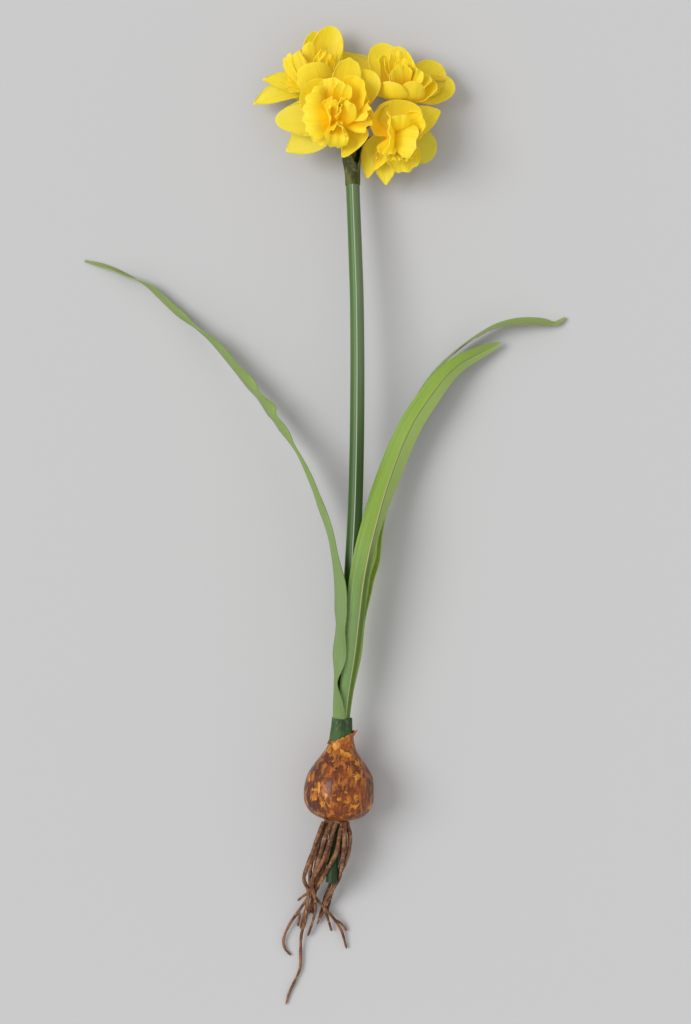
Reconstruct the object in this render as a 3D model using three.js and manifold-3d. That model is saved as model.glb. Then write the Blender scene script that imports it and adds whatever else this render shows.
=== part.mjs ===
// A double daffodil lifted whole and laid on a flat surface: rooted bulb, three strap leaves,
// one leafless stem and a head of four blooms. Millimetres, +Y along the stem, +Z off the surface.
import * as THREE from 'three';
import Module from 'manifold-3d';
import { mergeVertices } from 'three/addons/utils/BufferGeometryUtils.js';

const wasm = await Module();
wasm.setup();

// The plan drawing: places are given as u (right) and v (down) in units of 0.7 mm, as they look
// from a point 1991 mm above the surface, with their real height z in millimetres.
const PLAN_UNIT = 0.7;
const EYE_HEIGHT = 1991;
const EYE_U = 345.5;
const EYE_V = 512;
const EYE_X = 4.15;
const EYE_Y = 188.9;

// Sheet thicknesses and the gap that neighbouring pieces keep.
const PETAL_THICK = 0.7;
const LEAF_THICK = 0.6;
const SHEATH_THICK = 0.6;
const GAP = 0.3;

// After the joins: corners closer than this are merged, and bodies under this many mm3 dropped.
const MERGE_WITHIN = 0.12;
const CRUMB = 0.5;

// The bulb: its axis on the plan, its outer profile (height above its base, radius) and its bore.
const BULB_BASE = [335.9, 819, 22.6];
const BULB_TOP = [340.9, 738, 24.7];
const BULB_PROFILE = [[0, 7], [0.8, 11], [4.9, 19.5], [11, 23.4], [20, 24.4], [30, 22.6], [38, 17.2],
  [45.5, 12], [52, 9], [57, 8.6]];
const BULB_BORE = 4.7;
const BULB_NECK_BORE = 7.9;
const BULB_NECK_DEPTH = 10;
const BULB_RIM_SLOPE = 3.6;
// The slope of the rim fades down the neck with this power, and the body is a little three-sided.
const BULB_SLOPE_POWER = 6;
const BULB_UNROUND = 0.012;
const BULB_SIDES = 20;

// The stem: u, v, height and radius along its middle, from the end below the bulb to the neck.
const STEM = [
  [331.6, 882, 20.4, 4.0], [335.9, 819, 22.6, 4.2], [338, 785, 23.5, 4.2], [340.3, 748, 24.4, 4.2],
  [342.1, 718, 25.6, 4.2], [343.7, 690, 27.2, 4.4], [346, 650, 29.2, 4.8], [349.2, 605, 30.9, 5.1],
  [352.4, 560, 32.4, 5.1], [355.3, 504, 33.9, 5.05], [356.9, 440, 34.1, 5.0], [357.4, 370, 33.4, 4.9],
  [356.9, 304, 30.2, 4.8], [355.4, 255, 26.6, 4.75], [353.5, 205, 22.4, 4.7], [352.4, 176, 20.4, 4.8],
  [352, 163, 19.8, 4.4],
];
// A place on the stem's line just past its lower end, for the room it needs between the roots.
const ROD_END = [331.3, 887, 20.2, 4.0];
const STEM_SIDES = 12;
const STEM_STEPS = 30;
const PEDICEL_RADIUS = 2.2;
const PEDICEL_STEPS = 9;
const PEDICEL_SIDES = 8;
// How far behind a bloom its pedicel turns into line with it.
const PEDICEL_TURN = 3;

// Leaves: u, v, height, width, roll (0 lies face up, positive lifts the right edge) and bend of the
// section in degrees, from base to tip. "crease" is the part of the half width that bends.
const LEAVES = {
  leaf_right: {
    crease: 0.2, wave: 0.25, waves: 9, cells: 4,
    rows: [
      [343.9, 748, 28.7, 10.7, 152, 122], [345.7, 718, 29.9, 10.7, 152, 122],
      [348.8, 690, 33.4, 13, 148, 110], [354.4, 655, 37, 16, 147, 92],
      [359, 616, 40.2, 19, 146, 84], [362.3, 588, 41.4, 20, 149, 84], [366.6, 563, 41.6, 20.5, 152, 82],
      [372, 539, 40.4, 20.5, 154, 80], [381.6, 503, 34, 20, 160, 76], [390.6, 475, 29.5, 19.5, 167, 70],
      [401.6, 446, 27, 18.5, 172, 64], [414, 420, 26.6, 17.5, 175, 60], [429.4, 397, 25.4, 16.5, 175, 58],
      [444, 378, 23, 15, 172, 56], [458.6, 364.4, 18.6, 12.6, 170, 52], [473, 356, 14, 10.4, 170, 48],
      [486.4, 349.4, 10, 7.6, 172, 40], [494.6, 345.6, 8, 5, 175, 30], [500.6, 342.8, 7, 1.4, 180, 10],
    ],
  },
  leaf_left: {
    crease: 1, wave: 0.4, waves: 13, cells: 6,
    rows: [
      [332.7, 748, 27.4, 16.6, -122, 155], [334.5, 718, 28.7, 16.6, -122, 155],
      [334.4, 702, 30.4, 16, -113, 112], [334.4, 680, 32.2, 15.4, -94, 44],
      [335.8, 655, 36, 17, -126, 96], [337.4, 629, 38.4, 16, -113, 76], [338.3, 611, 39.6, 17, -123, 66],
      [337.6, 590, 39.2, 16, -119, 60], [334.6, 565, 37.6, 15.5, -111, 50],
      [328.6, 535, 34, 15, -104, 44], [320.6, 507, 30.5, 15, -105, 40], [312.4, 486, 28, 14.5, -101, 36],
      [299, 457, 24.6, 14, -98, 30], [290, 441, 22, 14.2, -101, 28], [280.4, 425.4, 20, 14.5, -120, 26],
      [271.6, 411, 18, 14.5, -110, 26], [261.4, 396, 16, 14.5, -124, 26], [250, 381, 14, 14, -109, 24],
      [234, 363.6, 12, 13.5, -108, 24], [212, 341.6, 9.6, 12.5, -101, 22], [194.4, 327, 7.6, 11.4, -97, 20],
      [178, 312.8, 6, 10.4, -116, 20], [160.4, 296.4, 5, 9, -116, 16], [144, 284, 4.3, 7.4, -96, 14],
      [122, 273, 3, 5.4, -70, 12], [102, 265.6, 1.7, 3.6, -34, 8], [84.8, 261, 1, 1.3, -5, 5],
    ],
  },
  leaf_back: {
    crease: 0.5, wave: 0.5, waves: 12, cells: 4,
    rows: [
      [342.2, 748, 19.4, 10.7, 13, 116], [344, 718, 20.6, 10.7, 13, 116], [347.4, 690, 20.8, 13, 24, 100],
      [353.6, 655, 20, 15.6, 36, 50], [358.8, 620, 19.4, 16.4, 46, 40], [364.4, 590, 19, 17, 40, 36],
      [368, 572, 18.6, 17, 36, 34], [372, 552, 18.2, 17, 36, 34], [378.4, 520, 17.6, 16.4, 45, 34],
      [387, 490, 16, 16, 50, 32], [396, 462, 15.4, 15.4, 57, 30], [406.4, 434, 14.8, 15, 64, 28],
      [418.4, 402, 13.8, 14.5, 74, 24], [431, 379, 12.6, 14, 82, 22], [446, 361.4, 11.6, 13.4, 85, 20],
      [464.4, 345.4, 10.8, 12.4, 86, 18], [483, 333.4, 10.6, 11.4, 80, 18], [501, 325.6, 8.6, 10.4, 68, 18],
      [521, 322, 6.2, 9.6, 56, 18], [542, 322.6, 4.2, 8.2, 46, 16], [554, 324, 3, 5, 52, 12],
      [560, 321.6, 2.2, 3.6, 40, 8], [565.4, 317.8, 1.8, 1.6, 30, 5],
    ],
  },
};
const LEAF_STEPS = 36;
// The blade is curled over its whole width up to here along it, and waves freely between these.
const LEAF_CURL = { most: 1.5, fade: 4 };
const LEAF_FREE = { from: 0.12, full: 0.3, tip: 0.1 };
const LEAF_SLOPE_STEP = 0.004;

// The two sheaths as rows of u, v, height and inner radius, how far up their edge starts to rise
// and fall, its wave in millimetres, and the slit of the upper one: where it is and its half width
// as angles round the stem, and its depth.
const BASAL_SHEATH = [[340.5, 745, 24.5, 6.85], [342.2, 718, 25.6, 6.85]];
const BASAL_WAVE = 0.5;
const SPATHE = [
  [352.8, 185, 20.9, 5.2], [352.4, 172, 20.2, 5.6], [351.8, 160, 19.9, 6.6], [351.4, 148, 20, 8.2],
];
const SPATHE_WAVE = 1.4;
const SPATHE_CUT = { at: 1.05, half: 0.75, deep: 14.5, power: 0.8 };
const EDGE_FROM = 0.2;
const SPATHE_STEPS = 6;
const BASAL_STEPS = 2;
const SLEEVE_SIDES = 16;
const SLEEVE_SLOPE_STEP = 0.01;

// Petal outlines: width at the root, where it is widest, width left at the tip, how far the tip
// corners drop back and how sharply.
const OUTLINES = {
  round: { root: 0.36, peak: 0.6, tip: 0.94, drop: 0.42, sharp: 2.0 },
  oval: { root: 0.36, peak: 0.5, tip: 0.8, drop: 0.46, sharp: 1.8 },
  tepal: { root: 0.36, peak: 0.5, tip: 0.5, drop: 0.34, sharp: 1.6 },
  point: { root: 0.4, peak: 0.42, tip: 0.16, drop: 0.05, sharp: 1.2 },
  fan: { root: 0.3, peak: 0.85, tip: 0.98, drop: 0.26, sharp: 2.4 },
};

// Each bloom: its tube (back and front middle), the way its pedicel takes, and its petals as
// outline, root, tip, width in millimetres, the way the inner face looks (x, y, z) and the shape:
// cup (section bend, degrees), bow (bulge away from the inner face, share of the length), hook
// (tip drawn to the inner face), sway (middle drawn aside), roll (rim rolled outwards, degrees),
// ruffle (mm) and waves, lobes and notch (share of the length) of the rim.
const BLOOMS = {
  bloom_left: {
    back: [323, 107, 13], front: [313.5, 87, 25], wide: 5,
    route: [[346, 150, 17], [335, 129, 11.5]],
    petals: [
      ['round', [318, 90, 22], [332.5, 26.5, 15], 25, [-0.1, -0.3, 1], { cup: 80, bow: 0.1 }],
      ['round', [313, 88, 21], [315.5, 31.5, 13], 19, [0.15, -0.3, 1], { cup: 50, bow: 0.08 }],
      ['round', [322, 92, 27], [339, 42, 29], 17, [-0.8, -0.1, 0.1], { cup: 50, bow: 0.08 }],
      ['round', [321, 96, 25], [309.5, 62, 42], 29, [0.1, 0.3, -1], { cup: 95, bow: 0.16, hook: -0.06 }],
      ['fan', [310, 91, 24], [289, 53.5, 33], 22, [0.6, 0.1, -0.7],
        { cup: 80, bow: 0.12, ruffle: 0.9, waves: 3, lobes: 3, notch: 0.05 }],
      ['point', [313, 94, 21], [262.8, 79.6, 18], 16, [0.1, 0.4, 0.9],
        { cup: 45, bow: -0.04, sway: 0.08 }],
      ['point', [314, 98, 18], [252.8, 104.3, 11], 17, [0, 0.25, 1], { cup: 30, bow: -0.06, sway: 0.12 }],
      ['tepal', [314, 96, 18], [325, 62, 0.3], 20, [0, -0.2, 1], { cup: 24 }],
      ['tepal', [315, 96, 17], [283, 77, 5], 18, [0, -0.3, 1], { cup: 30 }],
      ['fan', [318, 82, 29], [327, 50, 35], 14, [-0.2, -0.2, 0.9],
        { ruffle: 1.3, waves: 3, cup: -30, lobes: 3, notch: 0.1 }],
      ['fan', [315, 87, 27], [321, 54.5, 40], 12, [0.2, -0.3, 0.9],
        { ruffle: 1.1, waves: 2, cup: 30, lobes: 2, notch: 0.12 }],
      ['round', [312, 84, 29], [309.5, 42, 31], 13, [0.4, 0, 0.9], { ruffle: 0.5, waves: 1, cup: -70 }],
      ['fan', [309, 86, 28], [298, 50, 30], 17, [0.4, 0, 0.9],
        { ruffle: 0.9, waves: 2, cup: 30, lobes: 2, notch: 0.05 }],
      ['fan', [312, 90, 24], [283.5, 82.5, 25], 13, [0.2, 0.5, 0.9],
        { ruffle: 1.3, waves: 3, cup: 30, lobes: 3, notch: 0.1 }],
    ],
  },
  bloom_front: {
    back: [343, 128, 27], front: [335, 112, 42], wide: 6.5,
    route: [[350, 150, 22]],
    petals: [
      ['oval', [335, 117, 34], [275.3, 120.5, 30], 26, [0, 0.1, 1], { cup: 24, bow: -0.04 }],
      ['point', [336, 122, 31], [286, 151.5, 21], 24, [0.1, 0.2, 1], { cup: 20, bow: -0.03 }],
      ['round', [334, 110, 36], [304, 86, 43], 28, [0.3, -0.4, 0.9], { cup: 50, bow: 0.06 }],
      ['round', [342, 106, 37], [350.5, 57.3, 46], 21, [0, -0.3, 1],
        { cup: 50, bow: 0.04, lobes: 3, notch: 0.03 }],
      ['round', [343, 109, 37], [377, 74, 42], 25, [-0.4, -0.2, 1], { cup: 70, bow: 0.05 }],
      ['tepal', [345, 118, 34], [343.5, 158, 40], 23, [-0.3, 0.5, 0.8],
        { cup: 50, bow: 0.06, sway: -0.24 }],
      ['fan', [335, 114, 41], [304.5, 112, 57], 40, [0.9, -0.08, 0.5],
        { roll: 90, cup: 95, ruffle: 0.9, waves: 5, lobes: 5, notch: 0.07 }],
      ['fan', [332, 108, 42], [317, 88.5, 57], 16, [0.7, -0.7, 0.5],
        { roll: 95, cup: 30, ruffle: 0.8, waves: 2, lobes: 2, notch: 0.05 }],
      ['fan', [334, 107, 43], [331.5, 79.5, 58], 16, [0.1, -0.9, 0.5],
        { roll: 60, cup: 50, ruffle: 0.8, waves: 2, lobes: 2, notch: 0.03 }],
      ['fan', [337, 107, 43], [345, 85.5, 59], 14, [-0.3, -0.9, 0.3],
        { roll: 40, cup: 50, ruffle: 1, waves: 2 }],
      ['fan', [332, 120, 41], [316, 142, 52], 17, [0.7, 0.7, 0.6],
        { roll: 80, cup: 40, ruffle: 0.9, waves: 3, lobes: 3, notch: 0.05 }],
      ['fan', [336, 120, 42], [336, 148, 54], 18, [0.1, 0.9, 0.6],
        { roll: 120, cup: 60, ruffle: 1.1, waves: 3, lobes: 3, notch: 0.04 }],
      ['round', [343, 114, 40], [360, 77.5, 52], 25, [-0.5, -0.1, 0.8],
        { cup: 70, bow: 0.08, ruffle: 0.9, waves: 3 }],
      ['round', [342, 124, 43], [349.5, 101, 57], 16, [-0.2, 0, 0.9],
        { cup: -60, bow: -0.04, ruffle: 0.5, waves: 2 }],
      ['fan', [343, 117, 40], [371, 104, 51], 21, [-0.3, 0.4, 0.9],
        { cup: 30, ruffle: 1.6, waves: 3, lobes: 4, notch: 0.06 }],
      ['fan', [343, 120, 39], [373, 120, 48], 23, [-0.4, 0.4, 0.8],
        { cup: 40, ruffle: 1.8, waves: 3, lobes: 3, notch: 0.06 }],
      ['round', [328, 117, 44], [334, 98, 57], 13, [-0.2, 0, 0.9],
        { cup: 40, ruffle: 1, waves: 2, lobes: 3, notch: 0.08 }],
      ['round', [330, 124, 43], [329, 106, 57], 12, [0.8, 0.2, 0.5],
        { cup: 60, ruffle: 1, waves: 2, lobes: 3, notch: 0.08 }],
      ['round', [341, 110, 43], [344, 98, 58], 9, [0.2, -0.4, 0.6], { cup: 60, ruffle: 0.8, waves: 2 }],
      ['round', [338, 118, 43], [341, 107, 57], 11, [-0.6, 0.3, 0.4], { cup: 60, ruffle: 0.9, waves: 2 }],
      ['round', [335, 122, 43], [333, 129, 55], 13, [0.3, -0.8, 0.4], { cup: 60, ruffle: 0.9, waves: 2 }],
      ['fan', [340, 122, 42], [344, 131, 54], 13, [-0.4, -0.7, 0.5], { cup: 50, ruffle: 1, waves: 2 }],
    ],
  },
  bloom_right: {
    back: [393, 103, 17], front: [403, 86, 29], wide: 5,
    route: [[354.6, 145, 14.8], [368, 123, 12]],
    petals: [
      ['round', [398, 91, 24], [377, 44, 17], 25, [0.2, -0.2, 1], { cup: 60, bow: 0.05 }],
      ['tepal', [396, 95, 19], [341, 52.5, 8], 24, [0, 0.1, 1], { cup: 20 }],
      ['round', [402, 90, 24], [396.5, 46.5, 20], 20, [0, -0.1, 1], { cup: 50, bow: 0.04 }],
      ['round', [408, 94, 23], [440, 64.5, 14], 26, [-0.2, -0.2, 1], { cup: 50, bow: 0.06 }],
      ['round', [409, 95, 24], [454.5, 85, 17], 23, [-0.2, 0.2, 1], { cup: 80, bow: 0.12 }],
      ['tepal', [400, 97, 19], [432, 82, 0.3], 20, [0, -0.1, 1], { cup: 24 }],
      ['round', [398, 100, 29], [389.5, 81, 44], 23, [0.3, 0.7, -0.5], { cup: 80, bow: 0.3 }],
      ['round', [408, 101, 29], [413.5, 81.5, 42], 21, [-0.1, 0.7, -0.5], { cup: 80, bow: 0.3 }],
      ['round', [394, 99, 28], [382, 55.5, 37], 16, [0.7, 0.1, 0.6],
        { ruffle: 0.5, waves: 2, cup: 60, bow: 0.12, sway: 0.06 }],
      ['fan', [402, 92, 31], [389.5, 54, 39], 16, [0.5, -0.4, 0.7],
        { ruffle: 0.7, waves: 2, cup: 40, lobes: 3, notch: 0.07 }],
      ['fan', [403, 92, 32], [398.5, 50, 40], 18, [0.2, -0.5, 0.8],
        { ruffle: 0.8, waves: 2, cup: 40, lobes: 3, notch: 0.07 }],
      ['fan', [404, 92, 32], [406, 57.5, 43], 16, [-0.1, -0.4, 0.9],
        { ruffle: 0.8, waves: 2, cup: 50, lobes: 3, notch: 0.08 }],
      ['fan', [404, 92, 33], [399, 64, 47], 16, [0.2, -0.3, 0.9],
        { ruffle: 0.9, waves: 2, cup: 60, lobes: 3, notch: 0.09 }],
      ['fan', [406, 92, 32], [417, 67, 42], 16, [-0.4, -0.4, 0.8],
        { ruffle: 1.3, waves: 2, cup: 30, lobes: 3, notch: 0.05 }],
      ['round', [401, 92, 33], [391, 72, 44], 13, [0.7, -0.1, 0.6],
        { ruffle: 1.1, waves: 2, cup: 50, lobes: 2, notch: 0.06 }],
      ['round', [408, 92, 28], [429, 67.5, 31], 11, [-0.4, -0.6, 0.7],
        { roll: 110, ruffle: 0.5, waves: 1, cup: 50 }],
      ['round', [409, 98, 28], [437, 84, 33], 17, [-0.5, 0.3, 0.9],
        { ruffle: 0.6, waves: 2, cup: 100, bow: 0.14 }],
      ['fan', [410, 97, 30], [431, 77, 36], 12, [-0.2, 0.6, 0.7], { ruffle: 0.9, waves: 2, cup: 50 }],
    ],
  },
  bloom_low: {
    back: [386, 137, 23], front: [398, 134, 37], wide: 6,
    route: [[357, 146, 19.4], [369, 140, 19]],
    petals: [
      ['round', [398, 130, 33], [399, 99.5, 39], 34, [0, -0.7, 0.7], { cup: 50, bow: 0.06 }],
      ['point', [397, 130, 32], [440.5, 111, 26], 20, [-0.2, -0.2, 1], { cup: 40, bow: -0.03 }],
      ['round', [397, 138, 31], [437, 151, 21], 27, [-0.1, 0.1, 1], { cup: 40, bow: 0.04 }],
      ['round', [397, 139, 34], [408, 173, 33], 25, [0, 0.4, 1],
        { cup: 60, ruffle: 0.8, waves: 2, lobes: 3, notch: 0.06 }],
      ['point', [392, 141, 30], [386, 185.5, 21], 18, [-0.1, 0.2, 1], { cup: 60, bow: 0.05 }],
      ['point', [388, 135, 29], [367.5, 178.5, 21], 17, [-0.35, 0.1, 0.9],
        { cup: 60, bow: 0.06, sway: 0.12 }],
      ['tepal', [393, 139, 32], [374.5, 170, 28], 13, [-0.6, 0.3, 0.7], { cup: 60, bow: 0.08 }],
      ['round', [393, 131, 33], [375, 111.5, 41], 25, [0.7, -0.4, 0.6], { cup: 70, bow: 0.16 }],
      ['fan', [396, 134, 37], [389, 129, 54], 28, [-0.9, 0, 0.1], { ruffle: 1, waves: 2, cup: 20 }],
      ['round', [399, 132, 37], [402, 114.5, 54], 19, [0, 0.8, 0.1],
        { ruffle: 0.8, waves: 2, cup: 80, bow: 0.12, lobes: 2, notch: 0.06 }],
      ['round', [401, 133, 36], [424, 117, 48], 19, [-0.7, -0.3, 0.8],
        { ruffle: 0.8, waves: 2, cup: 70, bow: 0.1 }],
      ['fan', [392, 140, 38], [417.5, 142, 50], 24, [-0.3, 0.1, 0.9],
        { cup: -50, bow: -0.1, ruffle: 0.5, waves: 3, lobes: 2, notch: 0.04 }],
      ['fan', [394, 138, 36], [383, 155, 47], 14, [0.3, 0.9, 0.2],
        { ruffle: 1.3, waves: 3, cup: 40, lobes: 3, notch: 0.08 }],
      ['fan', [396, 139, 36], [394, 162, 43], 15, [0.1, 0.8, 0.7],
        { ruffle: 1.2, waves: 3, cup: 50, lobes: 2, notch: 0.06 }],
      ['round', [399, 135, 35], [423, 135, 43], 9, [-0.6, 0, 0.8], { ruffle: 0.5, waves: 2, cup: 60 }],
      ['fan', [398, 141, 36], [409, 160, 42], 16, [-0.1, 0.6, 0.8],
        { ruffle: 1.2, waves: 3, cup: 30, lobes: 3, notch: 0.06 }],
    ],
  },
};
const PETAL_CELLS = 4;
const CORONA_CELLS = 10;
const CORONA_WIDTH = 35;
const PETAL_STEPS = { round: 4, oval: 4, tepal: 4, point: 4, fan: 3 };
// A rolled petal starts to roll here along its length and gets this many more steps.
const ROLL_FROM = 0.5;
const ROLL_STEPS = 2;
// The share of its cup that a petal already has at its root.
const CUP_AT_ROOT = 0.3;
// The depth of a petal's notches grows with this power of the way along, its dropped corners with
// the other.
const NOTCH_POWER = 5;
const DROP_POWER = 3;
// The tube of a bloom: where its waist lies, its widths there and at the lip as shares of its
// width, the height of the lip, and how much wider than the pedicel it starts.
const TUBE = { sides: 10, waist: 0.45, waistWidth: 0.85, lipWidth: 0.6, lip: 2, start: 0.3 };

// Roots: u, v and height along each, from the crown to the tip, thickest first.
const ROOTS = [
  [[324, 822, 27], [317.5, 838, 28], [311.5, 855, 26], [306, 870, 22], [304, 880, 18],
    [308.5, 891, 15], [307.5, 904, 11.5], [305.4, 919, 8], [301.4, 935, 4.6], [300.6, 951, 2.8],
    [300, 968, 2.3], [294.2, 982, 2], [289.1, 993, 1.7], [285.9, 1004.5, 1.4]],
  [[342.8, 822, 28], [339.4, 836, 31], [336.4, 852, 30], [331, 863, 27], [325, 874, 23],
    [318, 885, 18], [311, 893, 14], [305.6, 901, 10], [298.7, 911, 6], [289.2, 925, 4],
    [283.6, 939, 2.6], [285, 948.6, 2], [291, 955.4, 1.6]],
  [[336.6, 822, 29], [331, 837, 32], [326.4, 852, 31], [320.6, 865, 27], [313.6, 877, 22],
    [311, 886, 17], [314.4, 896, 13], [323.6, 907, 9], [335, 920, 5.4], [341.5, 931, 3.4],
    [344.4, 940, 2.4], [346.6, 948.6, 1.8]],
  [[347, 822, 24], [350, 836, 27], [349.2, 849, 26], [345.6, 862, 23], [340.6, 872, 19],
    [336, 883, 15], [331, 894, 11], [326, 906, 7], [317, 924, 3]],
  [[331, 822, 30], [325.4, 837, 33], [320.8, 853, 30], [316, 869, 25], [312.4, 884, 20],
    [314.6, 897, 15], [315.6, 908, 10], [312.6, 922, 6], [307.8, 936, 3]],
  [[327.4, 822, 24], [321, 836, 23], [317.4, 852, 20], [315.4, 868, 16], [311, 882, 12],
    [308.4, 896, 8], [305.4, 910, 5], [300, 929, 2.2]],
  [[334, 822, 17], [329, 845, 15], [322, 868, 10], [316, 890, 7], [311, 913, 3.4]],
  [[343, 822, 19], [345.4, 845, 18], [341, 866, 13], [334, 884, 9], [330, 900, 6], [326, 915, 3]],
  [[325.6, 822, 20], [318.6, 842, 18], [312, 862, 13], [309.6, 882, 9], [312, 900, 5.4],
    [313, 914, 3]],
  [[334.6, 822, 26], [330.6, 843, 27], [326.4, 860, 24], [321, 877, 18], [316, 890, 13],
    [306.4, 894, 10], [297.6, 900.6, 7]],
  [[345, 822, 29], [344.2, 840, 31], [341.6, 856, 28], [336.4, 868, 23], [331, 880, 18],
    [325, 893, 13], [321, 906, 8]],
  [[339.6, 822, 18], [341, 848, 14], [334, 874, 9], [325, 897, 5.4], [319, 920, 2.4]],
  [[329.6, 822, 19], [323.6, 848, 16], [318, 872, 11], [313, 894, 7], [309, 914, 3.4]],
  [[323.6, 907, 9], [327.4, 917, 5.4], [331.6, 931, 2.4]],
  [[335, 920, 5.4], [341, 923.6, 4], [346.6, 930.6, 2]],
  [[298.7, 911, 6], [299.4, 918, 4.4], [297.6, 926, 2.4]],
  [[341, 872, 18.4], [335.6, 884, 14], [326, 896, 10]],
];
const ROOT_RADIUS = 1.6;
const ROOTLET_RADIUS = 1.05;
const ROOT_TIP = 0.6;
const ROOT_SIDES = 4;
const ROOT_STEPS = 1.05;
// The rows of main roots start above this v.
const CROWN_V = 830;
const CROWN = { top: -GAP, bottom: -3.6, inner: 4.9, outer: 8.2, taper: 0.9, sides: 14 };

// Colours as seen.
const LOOKS = {
  petal: { color: 0xf0cf2a, roughness: 0.55 },
  stem: { color: 0x4d7040, roughness: 0.35 },
  leaf: { color: 0x86a84a, roughness: 0.5 },
  sheath: { color: 0x44553a, roughness: 0.6 },
  spathe: { color: 0x56562c, roughness: 0.7 },
  bulb: { color: 0x8a4d28, roughness: 0.4 },
  root: { color: 0x5c4034, roughness: 0.7 },
};

function onPlan([u, v, z]) {
  const scale = PLAN_UNIT * (1 - z / EYE_HEIGHT);
  return new THREE.Vector3(EYE_X + (u - EYE_U) * scale, EYE_Y - (v - EYE_V) * scale, z);
}

// A smooth value along equally spaced rows of numbers, with s from 0 to 1.
function along(rows, s) {
  const place = s * (rows.length - 1);
  const first = Math.min(Math.floor(place), rows.length - 2);
  const f = place - first;
  const row = (k) => rows[Math.max(0, Math.min(rows.length - 1, k))];
  return rows[0].map((_, c) => {
    const [p0, p1, p2, p3] = [-1, 0, 1, 2].map((k) => row(first + k)[c]);
    const slope1 = (p2 - p0) / 2;
    const slope2 = (p3 - p1) / 2;
    return (2 * p1 - 2 * p2 + slope1 + slope2) * f ** 3 + (3 * p2 - 3 * p1 - 2 * slope1 - slope2) * f * f
      + slope1 * f + p1;
  });
}

// A closed body from corner points and triangles, turned so that its faces look outwards.
function body(points, triangles) {
  const volume = triangles.reduce((sum, [a, b, c]) => (
    sum + points[a].dot(new THREE.Vector3().crossVectors(points[b], points[c]))), 0);
  const index = volume < 0 ? triangles.map(([a, b, c]) => [a, c, b]) : triangles;
  return new wasm.Manifold(new wasm.Mesh({
    numProp: 3,
    vertProperties: new Float32Array(points.flatMap((p) => [p.x, p.y, p.z])),
    triVerts: new Uint32Array(index.flat()),
  }));
}

// A body from rings of points: a bar with capped ends, or a hollow one whose last ring meets the first.
function ringBody(rings, hollow = false) {
  const sides = rings[0].length;
  const points = rings.flat();
  const triangles = [];
  const last = hollow ? rings.length : rings.length - 1;
  for (let i = 0; i < last; i += 1) {
    const next = (i + 1) % rings.length;
    for (let k = 0; k < sides; k += 1) {
      const side = (k + 1) % sides;
      const corners = [i * sides + k, i * sides + side, next * sides + side, next * sides + k];
      triangles.push([corners[0], corners[1], corners[2]], [corners[0], corners[2], corners[3]]);
    }
  }
  if (!hollow) {
    for (const [start, flip] of [[0, true], [(rings.length - 1) * sides, false]]) {
      const middle = new THREE.Vector3();
      for (let k = 0; k < sides; k += 1) middle.add(points[start + k]);
      points.push(middle.divideScalar(sides));
      for (let k = 0; k < sides; k += 1) {
        const side = start + ((k + 1) % sides);
        triangles.push(flip ? [points.length - 1, side, start + k] : [points.length - 1, start + k, side]);
      }
    }
  }
  return body(points, triangles);
}

// A join with close corners merged, without crumbs and without hollows that no face leads into.
function cleaned(solid) {
  const bodies = solid.simplify(MERGE_WITHIN).decompose().filter((part) => part.volume() > CRUMB);
  return wasm.Manifold.union(bodies);
}

// A ring of points round a middle, square to the given direction.
function ring(middle, direction, radius, sides, reach = () => [0, 1]) {
  const across = new THREE.Vector3().crossVectors(direction, new THREE.Vector3(0, 0, 1)).normalize();
  const over = new THREE.Vector3().crossVectors(across, direction).normalize();
  return Array.from({ length: sides }, (_, k) => {
    const angle = (2 * Math.PI * k) / sides;
    const [shift, swell] = reach(angle);
    return middle.clone()
      .addScaledVector(across, Math.cos(angle) * radius * swell)
      .addScaledVector(over, Math.sin(angle) * radius * swell)
      .addScaledVector(direction, shift);
  });
}

// A round bar along points, with a radius at each.
function bar(points, radii, sides) {
  return ringBody(points.map((point, i) => {
    const before = points[Math.max(0, i - 1)];
    const after = points[Math.min(points.length - 1, i + 1)];
    return ring(point, after.clone().sub(before).normalize(), radii[i], sides);
  }));
}

// A thin sheet of even thickness over a curved face given by place(s, t), s 0..1 and t -1..1.
function sheet(place, thickness, steps, cells) {
  const points = [];
  const STEP = 1e-3;
  for (const side of [1, -1]) {
    for (let i = 0; i <= steps; i += 1) {
      for (let j = 0; j <= cells; j += 1) {
        const s = i / steps;
        const t = (2 * j) / cells - 1;
        const alongFace = place(s + STEP, t).sub(place(s - STEP, t));
        const acrossFace = place(s, t + STEP).sub(place(s, t - STEP));
        const normal = acrossFace.cross(alongFace).normalize();
        points.push(place(s, t).addScaledVector(normal, (side * thickness) / 2));
      }
    }
  }
  const under = (steps + 1) * (cells + 1);
  const at = (i, j) => i * (cells + 1) + j;
  const triangles = [];
  for (let i = 0; i < steps; i += 1) {
    for (let j = 0; j < cells; j += 1) {
      const [a, b, c, d] = [at(i, j), at(i, j + 1), at(i + 1, j + 1), at(i + 1, j)];
      for (const [p, q, r] of [[a, b, c], [a, c, d]]) {
        triangles.push([p, q, r], [under + p, under + r, under + q]);
      }
    }
  }
  const rim = [];
  for (let j = 0; j < cells; j += 1) rim.push([at(0, j + 1), at(0, j)], [at(steps, j), at(steps, j + 1)]);
  for (let i = 0; i < steps; i += 1) rim.push([at(i, 0), at(i + 1, 0)], [at(i + 1, cells), at(i, cells)]);
  for (const [p, q] of rim) triangles.push([p, q, under + q], [p, under + q, under + p]);
  return body(points, triangles);
}

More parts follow.
